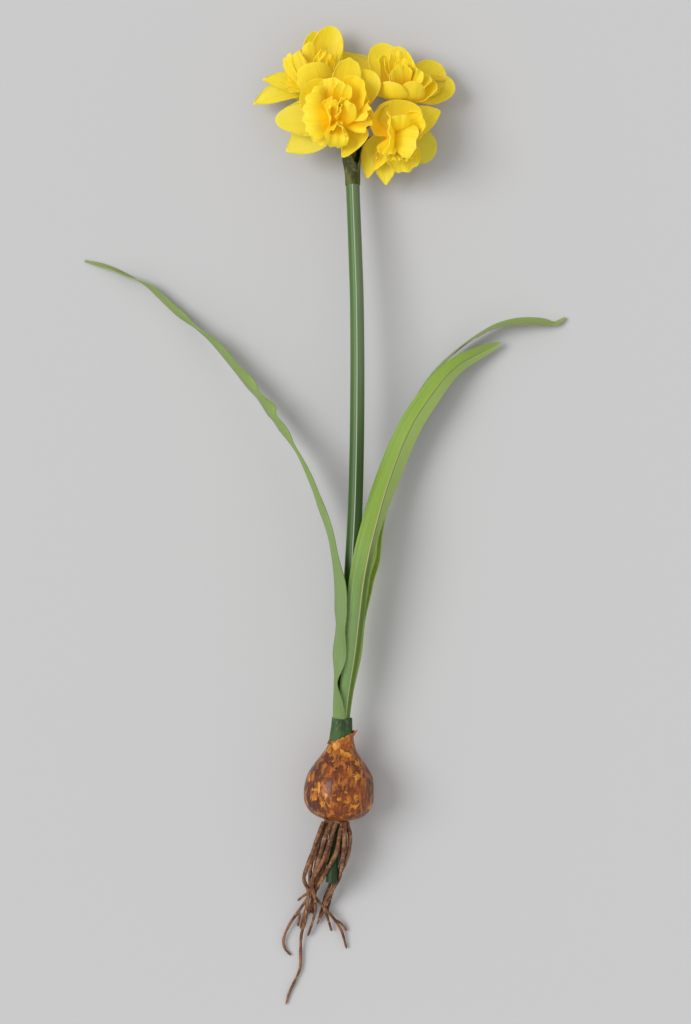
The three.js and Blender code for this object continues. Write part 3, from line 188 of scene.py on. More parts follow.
# Petals: outline, root, tip, width in millimetres, the way the inner face looks and the shape: cup
# (section bend, degrees), bow (bulge away from the inner face, share of the length), hook (tip drawn
# to the inner face), sway (middle drawn aside), roll (rim rolled outwards, degrees), ruffle (mm) and
# waves, lip (rim raised, mm), lobes and notch (share of the length) of the rim, tone (-1 greener),
# throat (how orange its root is, partly its own colour and partly painted shade deep in the flower, and
# how strongly the root shows a painted glow) and fine (1 for the corona's finer grid).
USUAL_SHAPE = dict(cup=0, bow=0, hook=0, sway=0, roll=0, ruffle=0, waves=2, lip=0, lobes=3, notch=0)
PETALS = {
    "bloom_left": [
        ("round", (318, 90, 22), (332.5, 26.5, 15), 25, (-0.1, -0.3, 1),
         dict(cup=80, bow=0.1, lip=1, throat=0.35)),
        ("round", (313, 88, 21), (315.5, 31.5, 13), 19, (0.15, -0.3, 1), dict(cup=50, bow=0.08, lip=0.8)),
        ("round", (322, 92, 27), (339, 42, 29), 17, (-0.8, -0.1, 0.1), dict(cup=50, bow=0.08, throat=0.3)),
        ("round", (321, 96, 25), (309.5, 62, 42), 29, (0.1, 0.3, -1), dict(cup=95, bow=0.16, hook=-0.06)),
        ("fan", (310, 91, 24), (289, 53.5, 33), 22, (0.6, 0.1, -0.7),
         dict(cup=80, bow=0.12, ruffle=0.9, waves=3, notch=0.05)),
        ("point", (313, 94, 21), (262.8, 79.6, 18), 16, (0.1, 0.4, 0.9),
         dict(cup=45, bow=-0.04, sway=0.08, tone=-0.4)),
        ("lance", (314, 92.5, 18), (252.8, 104.6, 11), 14.5, (0, 0.25, 1),
         dict(cup=30, bow=-0.06, sway=0.09, throat=0.1, tone=-0.4)),
        ("tepal", (314, 96, 18), (325, 62, 0.3), 20, (0, -0.2, 1), dict(cup=24, throat=0.1)),
        ("tepal", (315, 96, 17), (283, 77, 5), 18, (0, -0.3, 1), dict(cup=30, throat=0.1)),
        ("fan", (318, 82, 29), (327, 50, 35), 14, (-0.2, -0.2, 0.9),
         dict(ruffle=1.3, waves=3, cup=-30, notch=0.1, throat=0.5)),
        ("fan", (315, 87, 27), (321, 54.5, 40), 12, (0.2, -0.3, 0.9),
         dict(ruffle=1.1, cup=30, lobes=2, notch=0.12, throat=0.4)),
        ("round", (312, 84, 29), (309.5, 42, 31), 13, (0.4, 0, 0.9),
         dict(ruffle=0.5, waves=1, cup=-70, throat=0.3)),
        ("fan", (309, 86, 28), (298, 50, 30), 17, (0.4, 0, 0.9),
         dict(ruffle=0.9, cup=30, lobes=2, notch=0.05, throat=0.2)),
        ("fan", (312, 90, 24), (283.5, 82.5, 25), 13, (0.2, 0.5, 0.9),
         dict(ruffle=1.3, waves=3, cup=30, notch=0.1, throat=0.2)),
    ],
    "bloom_front": [
        ("oval", (335, 117, 34), (275.3, 120.5, 30), 26, (0, 0.1, 1),
         dict(cup=24, bow=-0.04, lip=0.3, tone=-0.5)),
        ("point", (336, 122, 31), (286, 151.5, 21), 24, (0.1, 0.2, 1), dict(cup=20, bow=-0.03, tone=-0.5)),
        ("round", (334, 110, 36), (304, 86, 43), 28, (0.3, -0.4, 0.9), dict(cup=50, bow=0.06)),
        ("round", (342, 106, 37), (350.5, 57.3, 46), 21, (0, -0.3, 1),
         dict(cup=50, bow=0.04, lip=0.8, notch=0.03)),
        ("round", (343, 109, 37), (377, 74, 42), 25, (-0.4, -0.2, 1), dict(cup=70, bow=0.05, lip=1)),
        ("tepal", (345, 118, 34), (343.5, 158, 40), 23, (-0.3, 0.5, 0.8),
         dict(cup=50, bow=0.06, sway=-0.23, lip=0.8)),
        ("fan", (335, 114, 41), (304.5, 112, 57), 40, (0.9, -0.08, 0.5),
         dict(fine=1, roll=90, cup=84, ruffle=0.9, waves=5, lobes=5, notch=0.07)),
        ("fan", (332, 108, 40.5), (317.5, 88, 54.5), 16, (0.7, -0.7, 0.5),
         dict(roll=95, cup=30, ruffle=0.8, lobes=2, notch=0.05)),
        ("fan", (333.6, 107, 43), (330, 79.5, 58), 18, (0.1, -0.9, 0.5),
         dict(roll=60, cup=50, ruffle=0.8, lobes=2, notch=0.03)),
        ("fan", (337, 107, 43), (345, 85.5, 59), 14, (-0.3, -0.9, 0.3), dict(roll=40, cup=50, ruffle=1)),
        ("fan", (332, 120, 41), (316, 142, 52), 17, (0.7, 0.7, 0.6),
         dict(roll=80, cup=40, ruffle=0.9, waves=3, notch=0.05)),
        ("fan", (336, 120, 42), (336, 148, 54), 18, (0.1, 0.9, 0.6),
         dict(roll=120, cup=60, ruffle=1.1, waves=3, notch=0.04, throat=0.35)),
        ("round", (343, 114, 40), (360, 77.5, 52), 25, (-0.5, -0.1, 0.8),
         dict(cup=70, bow=0.08, ruffle=0.9, waves=3, lip=0.6)),
        ("round", (342, 124, 43), (349.5, 101, 57), 16, (-0.2, 0, 0.9),
         dict(cup=-60, bow=-0.04, ruffle=0.5, throat=0.5)),
        ("fan", (343, 117, 40), (371, 104, 51), 21, (-0.3, 0.4, 0.9),
         dict(cup=30, ruffle=1.6, waves=3, lobes=4, notch=0.06, lip=0.6)),
        ("fan", (343, 120, 39), (373, 120, 48), 23, (-0.4, 0.4, 0.8),
         dict(cup=40, ruffle=1.8, waves=3, notch=0.06, lip=0.6)),
        ("round", (328, 117, 44), (334, 98, 57), 13, (-0.2, 0, 0.9),
         dict(cup=40, ruffle=1, notch=0.08, throat=0.4)),
        ("round", (330, 124, 43), (329, 106, 57), 12, (0.8, 0.2, 0.5),
         dict(cup=60, ruffle=1, notch=0.08, throat=0.5)),
        ("round", (341, 110, 43), (344, 98, 58), 9, (0.2, -0.4, 0.6), dict(cup=60, ruffle=0.8, throat=0.5)),
        ("round", (338, 118, 43), (341, 107, 57), 11, (-0.6, 0.3, 0.4), dict(cup=60, ruffle=0.9)),
        ("round", (335, 122, 43), (333, 129, 55), 13, (0.3, -0.8, 0.4), dict(cup=60, ruffle=0.9)),
        ("fan", (340, 122, 42), (344, 131, 54), 13, (-0.4, -0.7, 0.5), dict(cup=50, ruffle=1)),
    ],
    "bloom_right": [
        ("round", (398, 91, 24), (377, 44, 17), 25, (0.2, -0.2, 1), dict(cup=60, bow=0.05, lip=0.6)),
        ("tepal", (396, 95, 19), (341, 52.5, 8), 24, (0, 0.1, 1), dict(cup=20)),
        ("round", (402, 90, 24), (396.5, 46.5, 20), 20, (0, -0.1, 1), dict(cup=50, bow=0.04)),
        ("round", (408, 94, 23), (442, 66.6, 14), 26, (-0.2, -0.2, 1), dict(cup=50, bow=0.06, lip=0.8)),
        ("round", (409, 95, 24), (454.5, 85, 17), 23, (-0.2, 0.2, 1), dict(cup=80, bow=0.12, lip=1)),
        ("tepal", (400, 97, 19), (432, 82, 0.3), 20, (0, -0.1, 1), dict(cup=24)),
        ("round", (398, 100, 29), (389.5, 81, 44), 23, (0.3, 0.7, -0.5), dict(cup=80, bow=0.3, throat=0.2)),
        ("round", (408, 101, 29), (413.5, 81.5, 42), 21, (-0.1, 0.7, -0.5),
         dict(cup=80, bow=0.3, throat=0.2)),
        ("round", (394, 99, 28), (382, 55.5, 37), 16, (0.7, 0.1, 0.6),
         dict(ruffle=0.5, cup=60, bow=0.12, sway=0.06, throat=0.4)),
        ("fan", (402, 92, 31), (389.5, 54, 39), 16, (0.5, -0.4, 0.7),
         dict(ruffle=0.7, cup=40, notch=0.07, throat=0.5)),
        ("fan", (403, 92, 32), (398.5, 50, 40), 18, (0.2, -0.5, 0.8),
         dict(ruffle=0.8, cup=40, notch=0.07, throat=0.5)),
        ("fan", (404, 92, 32), (406, 57.5, 43), 16, (-0.1, -0.4, 0.9),
         dict(ruffle=0.8, cup=50, notch=0.08, throat=0.5)),
        ("fan", (404, 92, 33), (399, 64, 47), 16, (0.2, -0.3, 0.9),
         dict(ruffle=0.9, cup=60, notch=0.09, throat=0.6)),
        ("fan", (406, 92, 32), (417, 67, 42), 16, (-0.4, -0.4, 0.8),
         dict(ruffle=1.3, cup=30, notch=0.05, throat=0.4)),
        ("round", (401, 92, 33), (391, 72, 44), 13, (0.7, -0.1, 0.6),
         dict(ruffle=1.1, cup=50, lobes=2, notch=0.06)),
        ("round", (408, 92, 28), (429, 67.5, 31), 11, (-0.4, -0.6, 0.7),
         dict(roll=110, ruffle=0.5, waves=1, cup=50, throat=0.2)),
        ("round", (409, 98, 28), (437, 84, 33), 17, (-0.5, 0.3, 0.9),
         dict(ruffle=0.6, cup=100, bow=0.14, lip=0.6)),
        ("fan", (410, 97, 30), (431, 77, 36), 12, (-0.2, 0.6, 0.7), dict(ruffle=0.9, cup=50, throat=0.4)),
    ],
    "bloom_low": [
        ("round", (398, 130, 33), (399, 99.5, 39), 34, (0, -0.7, 0.7), dict(cup=50, bow=0.06, lip=0.5)),
        ("point", (397, 130, 32), (440.5, 111, 26), 20, (-0.2, -0.2, 1), dict(cup=40, bow=-0.03, lip=0.5)),
        ("round", (397, 138, 31), (436, 152, 21), 26, (-0.1, 0.1, 1), dict(cup=40, bow=0.04, tone=-0.7)),
        ("round", (397, 139, 34), (408, 173, 33), 25, (0, 0.4, 1), dict(cup=60, ruffle=0.8, notch=0.06)),
        ("point", (390, 141, 30), (386, 185, 21), 17.5, (-0.1, 0.2, 1),
         dict(cup=60, bow=0.05, sway=0.06, lip=0.4)),
        ("point", (384, 133.6, 29), (367.8, 178.5, 21), 17, (-0.35, 0.1, 0.9),
         dict(cup=60, bow=0.06, sway=0.095, lip=0.8)),
        ("tepal", (393, 139, 32), (374.5, 170, 28), 13, (-0.6, 0.3, 0.7),
         dict(cup=60, bow=0.08, lip=0.6, throat=0.5)),
        ("round", (393, 131, 33), (375, 111.5, 41), 25, (0.7, -0.4, 0.6),
         dict(cup=70, bow=0.16, lip=0.8, throat=1)),
        ("fan", (396, 134, 37), (389, 129, 54), 28, (-0.9, 0, 0.1), dict(ruffle=1, cup=20, throat=0.5)),
        ("round", (399, 132, 37), (402, 114.5, 54), 19, (0, 0.8, 0.1),
         dict(ruffle=0.8, cup=80, bow=0.12, lobes=2, notch=0.06, throat=0.3)),
        ("round", (401, 133, 36), (424, 117, 48), 19, (-0.7, -0.3, 0.8),
         dict(ruffle=0.8, cup=70, bow=0.1, lip=0.8, throat=0.5)),
        ("fan", (392, 140, 38), (417.5, 142, 50), 24, (-0.3, 0.1, 0.9),
         dict(cup=-50, bow=-0.1, ruffle=0.5, waves=3, lobes=2, notch=0.04, throat=0.15)),
        ("fan", (394, 138, 36), (383, 155, 47), 14, (0.3, 0.9, 0.2),
         dict(ruffle=1.3, waves=3, cup=40, notch=0.08, throat=0.4)),
        ("fan", (396, 139, 36), (394, 162, 43), 15, (0.1, 0.8, 0.7),
         dict(ruffle=1.2, waves=3, cup=50, lobes=2, notch=0.06, throat=0.4)),
        ("round", (399, 135, 35), (423, 135, 43), 9, (-0.6, 0, 0.8), dict(ruffle=0.5, cup=60)),
        ("fan", (398, 141, 36), (409, 160, 42), 16, (-0.1, 0.6, 0.8),
         dict(ruffle=1.2, waves=3, cup=30, notch=0.06, throat=0.3)),
    ],
}
# Places along a petal: where a rolled rim starts, and where the throat's orange (partly painted shade) and
# its painted glow end.
ROLL_FROM = 0.5
THROAT_END = 0.9
# Low swells of each petal: height in millimetres, then how fast they turn across and along it.
SWELLS = [(0.35, 2.4, 3), (0.12, 8, 5)]
# Painted glow at the petals' roots, which stands in for light that comes through the petals.
PETAL_ROOT_GLOW = 0.15
# The first inner petal of a bloom, and usual throats and tone.
INNER_FROM = 6
INNER_THROAT = 0.8
OUTER_TONE = -0.15
OUTER_THROAT = 0.12

# Roots and rootlets: u, v and height along each, from the crown or the parent root to the tip.
ROOTS = [
    [(324, 822, 27), (317.5, 838, 28), (311.5, 855, 26), (306, 870, 22), (304, 880, 18), (308.5, 891, 15),
     (307.5, 904, 11.5), (305.4, 919, 8), (301.4, 935, 4.6), (300.6, 951, 2.8), (300, 968, 2.3),
     (294.2, 982, 2), (289.1, 993, 1.7), (285.9, 1004.5, 1.4)],
    [(342.8, 822, 28), (339.4, 836, 31), (336.4, 852, 30), (331, 863, 27), (325, 874, 23), (318, 885, 18),
     (311, 893, 14), (305.6, 901, 10), (298.7, 911, 6), (289.2, 925, 4), (283.6, 939, 2.6), (285, 948.6, 2),
     (291, 955.4, 1.6)],
    [(336.6, 822, 29), (331, 837, 32), (326.4, 852, 31), (320.6, 865, 27), (313.6, 877, 22), (311, 886, 17),
     (314.4, 896, 13), (323.6, 907, 9), (335, 920, 5.4), (341.5, 931, 3.4), (344.4, 940, 2.4),
     (346.6, 948.6, 1.8)],
    [(347, 822, 24), (350, 836, 27), (349.2, 849, 26), (345.6, 862, 23), (340.6, 872, 19), (336, 883, 15),
     (331, 894, 11), (326, 906, 7), (317, 924, 3)],
    [(331, 822, 30), (325.4, 837, 33), (320.8, 853, 30), (316, 869, 25), (312.4, 884, 20), (314.6, 897, 15),
     (315.6, 908, 10), (312.6, 922, 6), (307.8, 936, 3)],
    [(327.4, 822, 24), (321, 836, 23), (317.4, 852, 20), (315.4, 868, 16), (311, 882, 12), (308.4, 896, 8),
     (305.4, 910, 5), (300, 929, 2.2)],
    [(334, 822, 17), (329, 845, 15), (322, 868, 10), (316, 890, 7), (311, 913, 3.4)],
    [(343, 822, 19), (345.4, 845, 18), (341, 866, 13), (334, 884, 9), (330, 900, 6), (326, 915, 3)],
    [(325.6, 822, 20), (318.6, 842, 18), (312, 862, 13), (309.6, 882, 9), (312, 900, 5.4), (313, 914, 3)],
    [(334.6, 822, 26), (330.6, 843, 27), (326.4, 860, 24), (321, 877, 18), (316, 890, 13), (306.4, 894, 10),
     (297.6, 900.6, 7)],
    [(345, 822, 29), (344.2, 840, 31), (343.2, 856, 28), (341.4, 868, 24), (338.8, 880, 19.6),
     (330.4, 893, 13.6), (321, 906, 8)],
    [(339.6, 822, 18), (341, 848, 14), (334, 874, 9), (325, 897, 5.4), (319, 920, 2.4)],
    [(329.6, 822, 19), (323.6, 848, 16), (318, 872, 11), (313, 894, 7), (309, 914, 3.4)],
    [(323.6, 907, 9), (327.4, 917, 5.4), (331.6, 931, 2.4)],
    [(335, 920, 5.4), (341, 923.6, 4), (346.6, 930.6, 2)],
    [(298.7, 911, 6), (299.4, 918, 4.4), (297.6, 926, 2.4)],
    [(341, 872, 18.4), (335.6, 884, 14), (326, 896, 10)],
]
ROOT_RADIUS = 1.6
ROOTLET_RADIUS = 1.05
ROOT_TIP = 0.8
# A row that starts further down than this v is a rootlet.
ROOTLETS_BELOW = 830
# The root crown: ends along the bulb's axis, widest radius, and shares of it from end to end.
CROWN_REACH = (0.6, -3.6)
CROWN_RADIUS = 8.2
CROWN_SHAPE = np.array([0.9, 1, 1, 0.98, 0.94, 0.86, 0.74, 0.56, 0.34])


def on_plan(places):
    """Points in millimetres for rows of u, v and real height."""
    places = np.asarray(places, float)
    scale = PLAN_UNIT * (1 - places[..., 2] / EYE_HEIGHT)
    return np.stack([
        EYE_X + (places[..., 0] - EYE_U) * scale,
        EYE_Y - (places[..., 1] - EYE_V) * scale,
        places[..., 2],
    ], axis=-1)


def eased(p1, p2, slope1, slope2, f):
    """From p1 (f = 0) to p2 (f = 1), with a slope at each."""
    return ((2 * p1 - 2 * p2 + slope1 + slope2) * f ** 3 + (3 * p2 - 3 * p1 - 2 * slope1 - slope2) * f ** 2
            + slope1 * f + p1)


def along(rows, s):
    """Smooth rows of numbers at each s from 0 to 1, along equally spaced rows."""
    rows = np.asarray(rows, float)
    place = np.clip(s, 0, 1) * (len(rows) - 1)
    first = np.minimum(place.astype(int), len(rows) - 2)
    p0, p1, p2, p3 = (rows[np.clip(first + k, 0, len(rows) - 1)] for k in (-1, 0, 1, 2))
    return eased(p1, p2, (p2 - p0) / 2, (p3 - p1) / 2, (place - first)[:, None])


def unit(vectors):
    return vectors / np.linalg.norm(vectors, axis=-1, keepdims=True)


def smoothstep(x, low, high):
    f = np.clip((x - low) / (high - low), 0, 1)
    return f * f * (3 - 2 * f)


def above_floor(points, least=FLOOR_GAP):
    points[:, 2] = np.maximum(points[:, 2], least)
    return points


def about(middle, level, raised, angle, radius):
    """Points round a middle, on a ring that the level and the raised direction span."""
    return middle + level * (np.cos(angle) * radius)[:, None] + raised * (np.sin(angle) * radius)[:, None]


def flat_grid(name, faces):
    bpy.ops.object.select_all(action="DESELECT")
    bpy.ops.mesh.primitive_grid_add(x_subdivisions=faces[0], y_subdivisions=faces[1], size=2)
    piece = bpy.context.object
    piece.name = name
    return piece


def corners_of(piece):
    corners = np.empty(len(piece.data.vertices) * 3)
    piece.data.vertices.foreach_get("co", corners)
    return corners.reshape(-1, 3)


def shaped(piece, place):
    """Moves a flat grid to place(s, t), with s from 0 to 1 along it and t from -1 to 1 across it."""
    corners = corners_of(piece)
    points = place((corners[:, 1] + 1) / 2, corners[:, 0]) * MM
    piece.data.vertices.foreach_set("co", points.ravel())
    piece.data.update()
    return piece


def mark(piece, name, values):
    """Gives each corner of a piece a number that its material reads."""
    layer = piece.data.attributes.new(name, "FLOAT", "POINT")
    layer.data.foreach_set("value", np.full(len(layer.data), values, float))


def only(*pieces):
    """Selects these pieces alone and makes the first the active one."""
    bpy.ops.object.select_all(action="DESELECT")
    for piece in pieces:
        piece.select_set(True)
    bpy.context.view_layer.objects.active = pieces[0]


def thicken(piece, thickness, offset=0):
    wall = piece.modifiers.new("wall", "SOLIDIFY")
    wall.thickness = thickness * MM
    wall.offset = offset
    wall.use_even_offset = False
    only(piece)
    bpy.ops.object.modifier_apply(modifier=wall.name)
    return piece


def close_seam(piece):
    """Merges the edges of a grid that was wrapped round, and turns its faces outwards."""
    only(piece)
    bpy.ops.object.mode_set(mode="EDIT")
    bpy.ops.mesh.select_all(action="SELECT")
    bpy.ops.mesh.remove_doubles(threshold=1e-6)
    bpy.ops.mesh.normals_make_consistent(inside=False)
    bpy.ops.object.mode_set(mode="OBJECT")
    return piece


def joined(pieces, name):
    only(*pieces)
    bpy.ops.object.join()
    pieces[0].name = name
    return pieces[0]


def dress(piece, material, node):
    """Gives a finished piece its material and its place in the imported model."""
    piece.data.materials.clear()
    piece.data.materials.append(material)
    only(piece)
    bpy.ops.object.shade_smooth_by_angle(angle=np.radians(SMOOTH_UNDER))
    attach(piece, "root")
    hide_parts(node)


def ring_frame(direction):
    """The level and the raised direction that stand square to each direction."""
    level = unit(np.cross(direction, [0, 0, 1]))
    return level, np.cross(level, direction)


def tube(name, points, radii, sides, swell=lambda s, angle: 1):
    """A round bar along points, closed at both ends."""
    points = np.asarray(points, float)
    direction = unit(np.gradient(points, axis=0))
    points = np.concatenate([points[:1], points, points[-1:]])
    direction = np.concatenate([direction[:1], direction, direction[-1:]])
    radii = np.concatenate([[0], radii, [0]])
    level, raised = ring_frame(direction)
    rows = len(points) - 1

    def place(s, t):
        i = np.rint(s * rows).astype(int)
        angle = np.pi * t
        return about(points[i], level[i], raised[i], angle, radii[i] * swell(s, angle))

    return close_seam(shaped(flat_grid(name, (sides, rows)), place))


def through(points, count):
    """A smooth way through points, its bends eased by the distances between them."""
    points = np.asarray(points, float)
    padded = np.concatenate([[2 * points[0] - points[1]], points, [2 * points[-1] - points[-2]]])
    way = []
    spans = len(points) - 1
    for place in np.linspace(0, spans, count):
        k = min(int(place), spans - 1)
        f = place - k
        p0, p1, p2, p3 = padded[k:k + 4]
        d1, d2, d3 = (np.sqrt(np.linalg.norm(b - a)) for a, b in ((p0, p1), (p1, p2), (p2, p3)))
        m1 = ((p1 - p0) / d1 - (p2 - p0) / (d1 + d2) + (p2 - p1) / d2) * d2
        m2 = ((p2 - p1) / d2 - (p3 - p1) / (d2 + d3) + (p3 - p2) / d3) * d2
        way.append(eased(p1, p2, m1, m2, f))
    return np.array(way)


def add_node(tree, kind, inputs=None, **settings):
    """A node with its settings, and its inputs linked to sockets or set to values."""
    made = tree.nodes.new(kind)
    row, column = divmod(len(tree.nodes), 12)
    made.location = (180 * column, -220 * row)
    for key, value in settings.items():
        setattr(made, key, value)
    for socket, value in (inputs or {}).items():
        if isinstance(value, bpy.types.NodeSocket):
            tree.links.new(value, made.inputs[socket])
        else:
            made.inputs[socket].default_value = value
    return made


def rgb(*seen):
    """A colour as seen, 0 to 255, as the shader wants it."""
    shares = [part / 255 for part in seen]
    return (*(x / 12.92 if x <= 0.04045 else ((x + 0.055) / 1.055) ** 2.4 for x in shares), 1)


def mix_colours(tree, mask, first, second, blend="MIX"):
    """First where the mask is 0, second where it is 1; each a socket, or a colour as seen."""
    first, second = (rgb(*colour) if isinstance(colour, tuple) else colour for colour in (first, second))
    return add_node(tree, "ShaderNodeMix", {0: mask, 6: first, 7: second}, data_type="RGBA",
                    blend_type=blend).outputs[2]


def coated(tree, body, *coats):
    """A colour with coats laid over it, each a mask and a colour."""
    for mask, colour in coats:
        body = mix_colours(tree, mask, body, colour)
    return body


def calculate(tree, operation, first, second=0):
    return add_node(tree, "ShaderNodeMath", {0: first, 1: second}, operation=operation).outputs[0]


def times(tree, first, second):
    return calculate(tree, "MULTIPLY", first, second)


def spread(tree, value, low, high, to_low=0, to_high=1):
    """Value mapped smoothly from low..high to to_low..to_high."""
    return add_node(tree, "ShaderNodeMapRange", {
        "Value": value, "From Min": low, "From Max": high, "To Min": to_low, "To Max": to_high,
    }, interpolation_type="SMOOTHSTEP").outputs[0]


def new_mask_group(name, **inputs):
    """A node group with named inputs that puts out a mask."""
    group = bpy.data.node_groups.new(name, "ShaderNodeTree")
    for label, value in inputs.items():
        kind = "NodeSocketVector" if isinstance(value, tuple) else "NodeSocketFloat"
        group.interface.new_socket(label, in_out="INPUT", socket_type=kind).default_value = value
    group.interface.new_socket("Mask", in_out="OUTPUT", socket_type="NodeSocketFloat")
    return group, group.nodes.new("NodeGroupInput").outputs, group.nodes.new("NodeGroupOutput").inputs


def make_veins_group():
    """Fine lines along a sheet, from its UV map, as a mask of 0 to 1."""
    group, given, out = new_mask_group("veins_along", Across=30, Length=1.5, Low=0.4, High=0.7)
    place = add_node(group, "ShaderNodeUVMap").outputs[0]
    parts = add_node(group, "ShaderNodeSeparateXYZ", {0: place}).outputs
    vector = add_node(group, "ShaderNodeCombineXYZ", {
        0: times(group, parts[0], given["Across"]), 1: times(group, parts[1], given["Length"]),
    }).outputs[0]
    noise = add_node(group, "ShaderNodeTexNoise", {"Vector": vector, "Scale": 1, "Detail": 2})
    group.links.new(spread(group, noise.outputs[0], given["Low"], given["High"]), out["Mask"])
    return group


def make_mottle_group():
    """Soft patches from Object coordinates, as a mask of 0 to 1."""
    group, given, out = new_mask_group(
        "mottle", Scale=100, Detail=4, Low=0.4, High=0.6, Stretch=(1, 1, 1), Distortion=0)
    place = add_node(group, "ShaderNodeTexCoord").outputs["Object"]
    moved = add_node(group, "ShaderNodeVectorMath", {0: place, 1: given["Stretch"]}, operation="MULTIPLY")
    noise = add_node(group, "ShaderNodeTexNoise", {
        "Vector": moved.outputs[0], "Scale": given["Scale"], "Detail": given["Detail"],
        "Distortion": given["Distortion"],
    })
    group.links.new(spread(group, noise.outputs[0], given["Low"], given["High"]), out["Mask"])
    return group


VEINS = make_veins_group()
MOTTLE = make_mottle_group()


def veins(tree, across, length, low=0.4, high=0.65):
    return add_node(tree, "ShaderNodeGroup", {
        "Across": across, "Length": length, "Low": low, "High": high,
    }, node_tree=VEINS).outputs[0]


def mottle(tree, scale, low=0.4, high=0.6, detail=4, stretch=1, distortion=0):
    """Patches of a scale, which a stretch below 1 draws out along the plant."""
    return add_node(tree, "ShaderNodeGroup", {
        "Scale": scale, "Low": low, "High": high, "Detail": detail, "Stretch": (1, stretch, 1),
        "Distortion": distortion,
    }, node_tree=MOTTLE).outputs[0]


def new_material(name, roughness, shine=0.5, **sockets):
    material = bpy.data.materials.new(name)
    material.use_nodes = True
    shader = material.node_tree.nodes["Principled BSDF"]
    shader.inputs["Roughness"].default_value = roughness
    shader.inputs["Specular IOR Level"].default_value = shine
    for label, value in sockets.items():
        shader.inputs[label.replace("_", " ")].default_value = value
    return material, material.node_tree


def finish(material, height, distance, strength, **colours):
    """Links the colours, and a relief that is distance millimetres high."""
    tree = material.node_tree
    colours["Normal"] = add_node(tree, "ShaderNodeBump", {
        "Height": height, "Distance": distance * MM, "Strength": strength,
    }).outputs[0]
    for label, socket in colours.items():
        tree.links.new(socket, tree.nodes["Principled BSDF"].inputs[label.replace("_", " ")])
    return material


def attribute(tree, name):
    return add_node(tree, "ShaderNodeAttribute", attribute_name=name).outputs["Fac"]


def sheet_place(tree):
    """Across (-1 to 1) and along (0 to 1) on a sheet."""
    parts = add_node(tree, "ShaderNodeSeparateXYZ", {0: add_node(tree, "ShaderNodeUVMap").outputs[0]})
    across = times(tree, calculate(tree, "SUBTRACT", parts.outputs[0], 0.5), 2)
    return across, parts.outputs[1]


def make_petal_material():
    material, tree = new_material(
        "petal_tissue", 0.52, 0.28, Subsurface_Weight=0.5, Subsurface_Radius=(0.8, 0.8, 0.2),
        Subsurface_Scale=0.005, Emission_Strength=PETAL_ROOT_GLOW)
    across, lengthwise = sheet_place(tree)
    outer = spread(tree, calculate(tree, "ABSOLUTE", across), 0.82, 1)
    rim = calculate(tree, "MAXIMUM", outer, spread(tree, lengthwise, 0.92, 1))
    throat = attribute(tree, "throat")
    body = coated(
        tree, (252, 220, 44),
        (veins(tree, 30, 1), (248, 210, 32)),
        (times(tree, attribute(tree, "tone"), -1), (206, 196, 56)),
        (times(tree, rim, 0.3), (255, 230, 92)),
        # Orange at the roots: partly the flower's own colour, partly painted shade deep in the throat.
        (throat, (244, 178, 4)))
    ridges = times(tree, veins(tree, 18, 0.6, 0.25, 0.75), 0.7)
    grain = times(tree, mottle(tree, 900, 0.3, 0.7), 0.2)
    # The throat mask also makes the roots glow: a painted glow for light that comes through the petals.
    return finish(material, calculate(tree, "ADD", ridges, grain), 0.16, 0.35, Base_Color=body,
                  Emission_Color=mix_colours(tree, throat, (0, 0, 0), (255, 208, 14)))


def make_leaf_material():
    material, tree = new_material(
        "leaf_tissue", 0.45, 0.35, Subsurface_Weight=0.15, Subsurface_Scale=0.003,
        Subsurface_Radius=(0.5, 1, 0.15))
    across, lengthwise = sheet_place(tree)
    grey = attribute(tree, "grey")
    lined = attribute(tree, "rib_dark")
    # Colour for one side of the rib, painted shade: dark green near the rib low on the leaf, lighter
    # towards the margin, and a plain paler green higher up.
    groove_shade = coated(
        tree, (140, 168, 72),
        (spread(tree, across, -0.85, -0.4), (84, 116, 12)),
        (spread(tree, lengthwise, 0.3, 0.46), (158, 182, 100)))
    rib = times(tree, spread(tree, calculate(tree, "ABSOLUTE", across), 0.015, 0.05, 1, 0),
                attribute(tree, "rib"))
    beside = calculate(tree, "ABSOLUTE", calculate(tree, "ADD", across, 0.07))
    body = mix_colours(tree, spread(tree, lengthwise, 0.18, 0.48), (98, 134, 64), (136, 164, 62))
    body = mix_colours(tree, veins(tree, 60, 4), body, (222, 228, 208), "MULTIPLY")
    body = coated(
        tree, body,
        (veins(tree, 22, 1.2, 0.5, 0.8), (148, 172, 100)),
        (grey, (124, 142, 92)),
        (times(tree, grey, spread(tree, across, 0.4, 0.75, 0, 1.6)), (132, 128, 106)),
        # Painted glow: a brighter yellow-green low on the leaf, for light that comes through it.
        (attribute(tree, "painted_glow"), (156, 186, 40)),
        (spread(tree, lengthwise, 0.72, 1, 0, 0.7), (144, 158, 98)),
        # Painted sheen: a paler, greyer green at the lower end of the leaf.
        (times(tree, lined, spread(tree, lengthwise, 0.2, 0.31, 0.34, 0)), (156, 184, 126)),
        # Painted shade on one side of the rib.
        (times(tree, lined, spread(tree, across, -0.16, -0.04, 0.95, 0)), groove_shade),
        (times(tree, rib, spread(tree, lengthwise, 0.35, 0.62, 1, 0.1)), (198, 196, 146)),
        (times(tree, lined, spread(tree, beside, 0, 0.05, 1, 0)), (110, 104, 58)))
    return finish(material, veins(tree, 70, 3, 0.3, 0.7), 0.15, 0.6, Base_Color=body)


